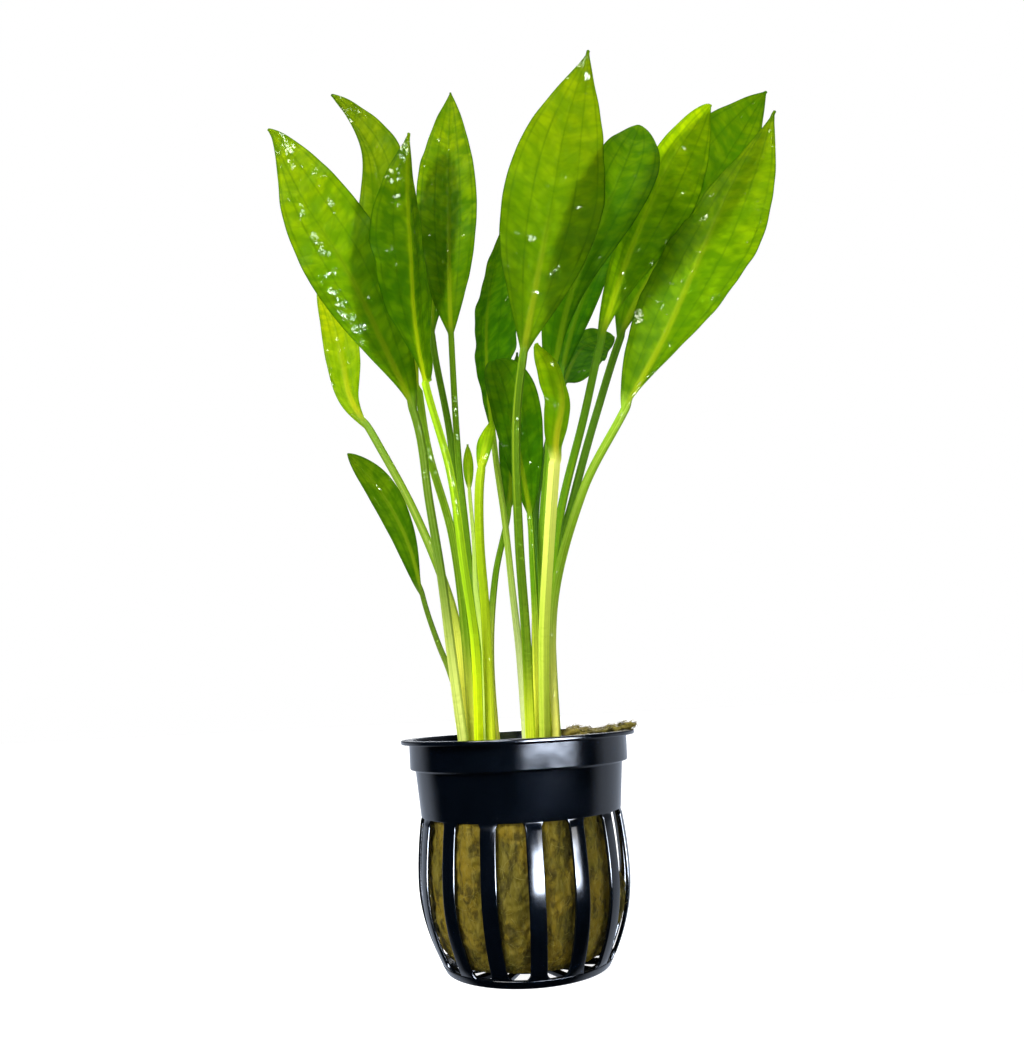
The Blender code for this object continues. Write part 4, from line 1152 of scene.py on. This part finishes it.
    # the film lies over both, and its ripples break its glints
    wet = add_node(tree, "ShaderNodeBump",
                   {"Height": ripples, "Distance": 0.7 * MM, "Strength": 0.8})
    mirror = add_node(tree, "ShaderNodeBsdfGlossy",
                      {"Color": linear("#F6F6D6"), "Roughness": 0.1, "Normal": wet})
    gloss = add_node(tree, "ShaderNodeFresnel", {"IOR": 1.45, "Normal": wet})
    gloss = add_node(tree, "ShaderNodeMath", {0: gloss, 1: share["film"]},
                     operation="MULTIPLY")
    surface = add_node(tree, "ShaderNodeMixShader",
                       {"Fac": gloss, 1: both.outputs[0], 2: mirror.outputs[0]})
    tree.links.new(surface.outputs[0], tree.nodes["Material Output"].inputs["Surface"])
    return material


class SWORDPLANT_OT_leaves(bpy.types.Operator):
    """Make the leaves of one plantlet, each a stalk and a blade in one skin"""
    bl_idname = "sword_plant.leaves"
    bl_label = "Leaves"

    crown: StringProperty(name="Crown", description="Which plantlet: left or right",
                          default="left")

    def execute(self, context):
        settings = context.scene.sword_leaf
        for number, leaf in enumerate(LEAVES):
            if leaf.crown != self.crown:
                continue
            tissue = TISSUES[leaf.name]
            points, faces, where, stalk, grain = leaf_mesh(leaf, settings, number)
            material = leaf_tissue(leaf, tissue, settings, number)
            mesh = plain_mesh(leaf.name, points, faces)
            for name, kind, field, values in (
                    ("where", "FLOAT_VECTOR", "vector", where.reshape(-1)),
                    ("stalk", "FLOAT", "value", stalk),
                    ("thick_film", "FLOAT", "value", thick_film(leaf, where))):
                mesh.attributes.new(name, kind, "POINT").data.foreach_set(field, values)
            corners = np.empty(len(mesh.loops), int)
            mesh.loops.foreach_get("vertex_index", corners)
            mesh.uv_layers.new(name="grain").data.foreach_set("uv", grain[corners].reshape(-1))
            finish_piece("green_" + leaf.name, mesh, material, leaf.name)
        return {"FINISHED"}


# ---- the stage -------------------------------------------------------------------
# The windows that the gloss mirrors: the left and the right edge, each in degrees from the front
# towards the right with its softness, the heights of sill and top as the sine of how far up one
# looks, and the brightness.
WINDOWS = (((7, 6), (52, 14), (-0.175, -0.1), 165.0), ((7, 6), (52, 14), (-0.1, 0.03), 50.0),
           ((-24, 3), (-8, 3), (0.16, 0.5), 30.0))
SILL_SOFTNESS = 0.03

# The camera, fitted to the photograph: its place in metres, where it looks, its focal length and
# the picture's height in the photograph's pixels, and the sensor's height in millimetres.
CAMERA_PLACE = (0.0, -0.2084, 0.05577)
CAMERA_PITCH = 0.2
CAMERA_ROLL = radians(2.9)
CAMERA_YAW = radians(-0.33)
FOCUS = 885.0
PHOTO_HEIGHT = 1047.0
SENSOR = 36.0


def glowing_floor(settings):
    """Opal acrylic on a light table, cast and matt: it glows evenly and takes a faint shadow."""
    material, tree, shader = new_material(
        "opal_acrylic", roughness=0.6, ior=1.49, specular_ior_level=0.0,
        emission_color=(1, 1, 1, 1))
    place = add_node(tree, "ShaderNodeTexCoord").outputs["Object"]
    haze = add_node(tree, "ShaderNodeTexNoise", {"Vector": place, "Scale": 3.0})
    colour = add_node(tree, "ShaderNodeMix",
                      {"Factor": haze, "A": linear("#A9A9A9"), "B": linear("#B0B0B0")},
                      data_type="RGBA")
    tree.links.new(colour.outputs[2], shader.inputs["Base Color"])
    # the lamps under it are aimed at the camera, so the plant gets only the light it reflects
    ray = add_node(tree, "ShaderNodeLightPath").outputs["Is Camera Ray"]
    glow = add_node(tree, "ShaderNodeMath", {0: ray, 1: settings.floor_glow},
                    operation="MULTIPLY")
    tree.links.new(glow.outputs[0], shader.inputs["Emission Strength"])
    return material


def add_softbox(name, place, aim_height, size, power):
    """An area light at a place, facing the plant's axis at a height."""
    lamp = bpy.data.lights.new(name, "AREA")
    lamp.shape = "RECTANGLE"
    lamp.size, lamp.size_y = size
    lamp.energy = power
    item = bpy.data.objects.new(name, lamp)
    item.location = place
    way = Vector((0, 0, aim_height)) - Vector(place)
    item.rotation_euler = way.to_track_quat("-Z", "Y").to_euler()
    bpy.context.scene.collection.objects.link(item)


class SWORDPLANT_OT_stage(bpy.types.Operator):
    """Set the floor, the light and the camera"""
    bl_idname = "sword_plant.stage"
    bl_label = "Stage"

    def execute(self, context):
        settings = context.scene.sword_stage
        scene = context.scene
        scene.view_settings.view_transform = "Standard"
        half = settings.floor_size / 2
        mesh = bpy.data.meshes.new("floor")
        mesh.from_pydata([(-half, -half, 0), (half, -half, 0), (half, half, 0), (-half, half, 0)],
                         [], [(0, 1, 2, 3)])
        mesh.materials.append(glowing_floor(settings))
        floor = bpy.data.objects.new("floor", mesh)
        scene.collection.objects.link(floor)
        floor.visible_glossy = False     # the pot's gloss mirrors no bright floor

        world = bpy.data.worlds.new("white_room")
        scene.world = world
        world.use_nodes = True
        tree = world.node_tree
        backdrop = tree.nodes["Background"]
        ray = add_node(tree, "ShaderNodeLightPath").outputs
        way = add_node(tree, "ShaderNodeTexCoord").outputs["Generated"]
        part = add_node(tree, "ShaderNodeSeparateXYZ", {"Vector": way}).outputs

        # a bright panel far behind the plant shines through the leaves; the room is dim. What
        # the gloss of pot and wet leaves mirrors: pale walls at the sides and behind, paler low
        # down, a low strip window front right and a tall one front left
        toward = add_node(tree, "ShaderNodeVectorMath", {0: way, 1: (0.0, 0.92, 0.39)},
                          operation="DOT_PRODUCT")
        aside = add_node(tree, "ShaderNodeMath", {0: part["X"], 1: 0.0}, operation="MAXIMUM")
        aside = add_node(tree, "ShaderNodeMath", {0: aside, 1: 0.35, 2: part["Y"]},
                         operation="MULTIPLY_ADD")
        slopes = []
        for value, start, end, at_start, at_end in (
                (part["Y"], -0.6, 0.3, 0.03, settings.room_light),
                (toward, 0.975, 0.996, 0.0, settings.panel_light),
                (aside, 0.2, 0.6, 0.003, 0.85), (part["Z"], -0.02, 0.04, 1.0, 0.3)):
            slopes.append(add_node(
                tree, "ShaderNodeMapRange", {"Value": value, "From Min": start, "From Max": end,
                                             "To Min": at_start, "To Max": at_end},
                interpolation_type="SMOOTHSTEP"))
        room, panel, walls, lower = slopes
        room = add_node(tree, "ShaderNodeMath", {0: room, 1: panel}, operation="ADD")
        mirrored = add_node(tree, "ShaderNodeMath", {0: walls, 1: lower}, operation="MULTIPLY")
        front = add_node(tree, "ShaderNodeMath", {0: part["Y"], 1: -1.0}, operation="MULTIPLY")
        angle = add_node(tree, "ShaderNodeMath", {0: part["X"], 1: front}, operation="ARCTAN2")
        for (left, left_soft), (right, right_soft), (low, high), glare in WINDOWS:
            window = glare
            for value, start, end, opens in (
                    (angle, radians(left - left_soft), radians(left + left_soft), True),
                    (angle, radians(right - right_soft), radians(right + right_soft), False),
                    (part["Z"], low - SILL_SOFTNESS, low + SILL_SOFTNESS, True),
                    (part["Z"], high - SILL_SOFTNESS, high + SILL_SOFTNESS, False)):
                window = add_node(
                    tree, "ShaderNodeMapRange", {"Value": value, "From Min": start,
                                                 "From Max": end,
                                                 "To Min": 0.0 if opens else window,
                                                 "To Max": window if opens else 0.0},
                    interpolation_type="SMOOTHSTEP")
            mirrored = add_node(tree, "ShaderNodeMath", {0: mirrored, 1: window},
                                operation="ADD")
        strength = add_node(tree, "ShaderNodeMix",
                            {"Factor": ray["Is Glossy Ray"], "A": room, "B": mirrored},
                            data_type="FLOAT")
        strength = add_node(tree, "ShaderNodeMix",
                            {"Factor": ray["Is Camera Ray"], "A": strength, "B": 1.0},
                            data_type="FLOAT")
        tree.links.new(strength.outputs[0], backdrop.inputs["Strength"])
        tint = add_node(tree, "ShaderNodeMix",
                        {"Factor": ray["Is Glossy Ray"], "A": linear("#FFFFFF"),
                         "B": linear("#D6E2F6")}, data_type="RGBA")
        tree.links.new(tint.outputs[2], backdrop.inputs["Color"])

        for name, place, aim_height, size, power_share in (
                ("key_softbox", (-0.5, -0.7, 0.75), 0.12, (0.5, 0.5), 1.0),
                ("side_softbox", (0.45, -0.55, 0.06), 0.03, (0.5, 0.1), 0.055),
                ("top_softbox", (0.2, -0.1, 1.0), 0.1, (0.7, 0.7), 0.25)):
            add_softbox(name, place, aim_height, size, settings.key_power * power_share)
        add_camera(scene)
        return {"FINISHED"}


def add_camera(scene):
    """The photograph's view: the camera looks a little up and leans a little to its left."""
    level = Vector((cos(CAMERA_YAW), sin(CAMERA_YAW), 0))
    ahead = Vector((-sin(CAMERA_YAW), cos(CAMERA_YAW), 0)) * cos(CAMERA_PITCH)
    ahead.z = sin(CAMERA_PITCH)
    up = level.cross(ahead)
    right = cos(CAMERA_ROLL) * level - sin(CAMERA_ROLL) * up
    up = sin(CAMERA_ROLL) * level + cos(CAMERA_ROLL) * up
    camera = bpy.data.objects.new("camera", bpy.data.cameras.new("camera"))
    camera.data.sensor_fit = "VERTICAL"
    camera.data.sensor_width = camera.data.sensor_height = SENSOR
    camera.data.lens = SENSOR * FOCUS / PHOTO_HEIGHT
    camera.data.clip_start, camera.data.clip_end = 0.01, 20.0
    turn = Matrix((right, up, -ahead)).transposed().to_4x4()
    camera.matrix_world = Matrix.Translation(CAMERA_PLACE) @ turn
    scene.collection.objects.link(camera)
    scene.camera = camera


class SWORDPLANT_PT_panel(bpy.types.Panel):
    """Lists the plant's pieces and their settings"""
    bl_idname = "SWORDPLANT_PT_panel"
    bl_label = "Potted Sword Plant"
    bl_space_type = "VIEW_3D"
    bl_region_type = "UI"
    bl_category = "Sword Plant"

    def draw(self, context):
        for operator, group in ((SWORDPLANT_OT_pot, "sword_pot"),
                                (SWORDPLANT_OT_rockwool, "sword_wool"),
                                (SWORDPLANT_OT_leaves, "sword_leaf"),
                                (SWORDPLANT_OT_stage, "sword_stage")):
            box = self.layout.box()
            box.operator(operator.bl_idname)
            settings = getattr(context.scene, group)
            for name in settings.bl_rna.properties.keys():
                if name not in ("rna_type", "name"):
                    box.prop(settings, name)


GROUPS = {"sword_pot": PotSettings, "sword_wool": WoolSettings, "sword_leaf": LeafSettings,
          "sword_stage": StageSettings}
CLASSES = (PotSettings, WoolSettings, LeafSettings, StageSettings, SWORDPLANT_OT_pot,
           SWORDPLANT_OT_rockwool, SWORDPLANT_OT_leaves, SWORDPLANT_OT_stage,
           SWORDPLANT_PT_panel)


def register():
    for item in CLASSES:
        bpy.utils.register_class(item)
    for name, group in GROUPS.items():
        setattr(bpy.types.Scene, name, bpy.props.PointerProperty(type=group))


def unregister():
    for name in GROUPS:
        delattr(bpy.types.Scene, name)
    for item in reversed(CLASSES):
        bpy.utils.unregister_class(item)


def main():
    register()
    bpy.ops.sword_plant.stage()
    bpy.ops.sword_plant.pot()
    bpy.ops.sword_plant.rockwool()
    bpy.ops.sword_plant.leaves(crown="left")
    bpy.ops.sword_plant.leaves(crown="right")


if __name__ == "__main__":
    main()
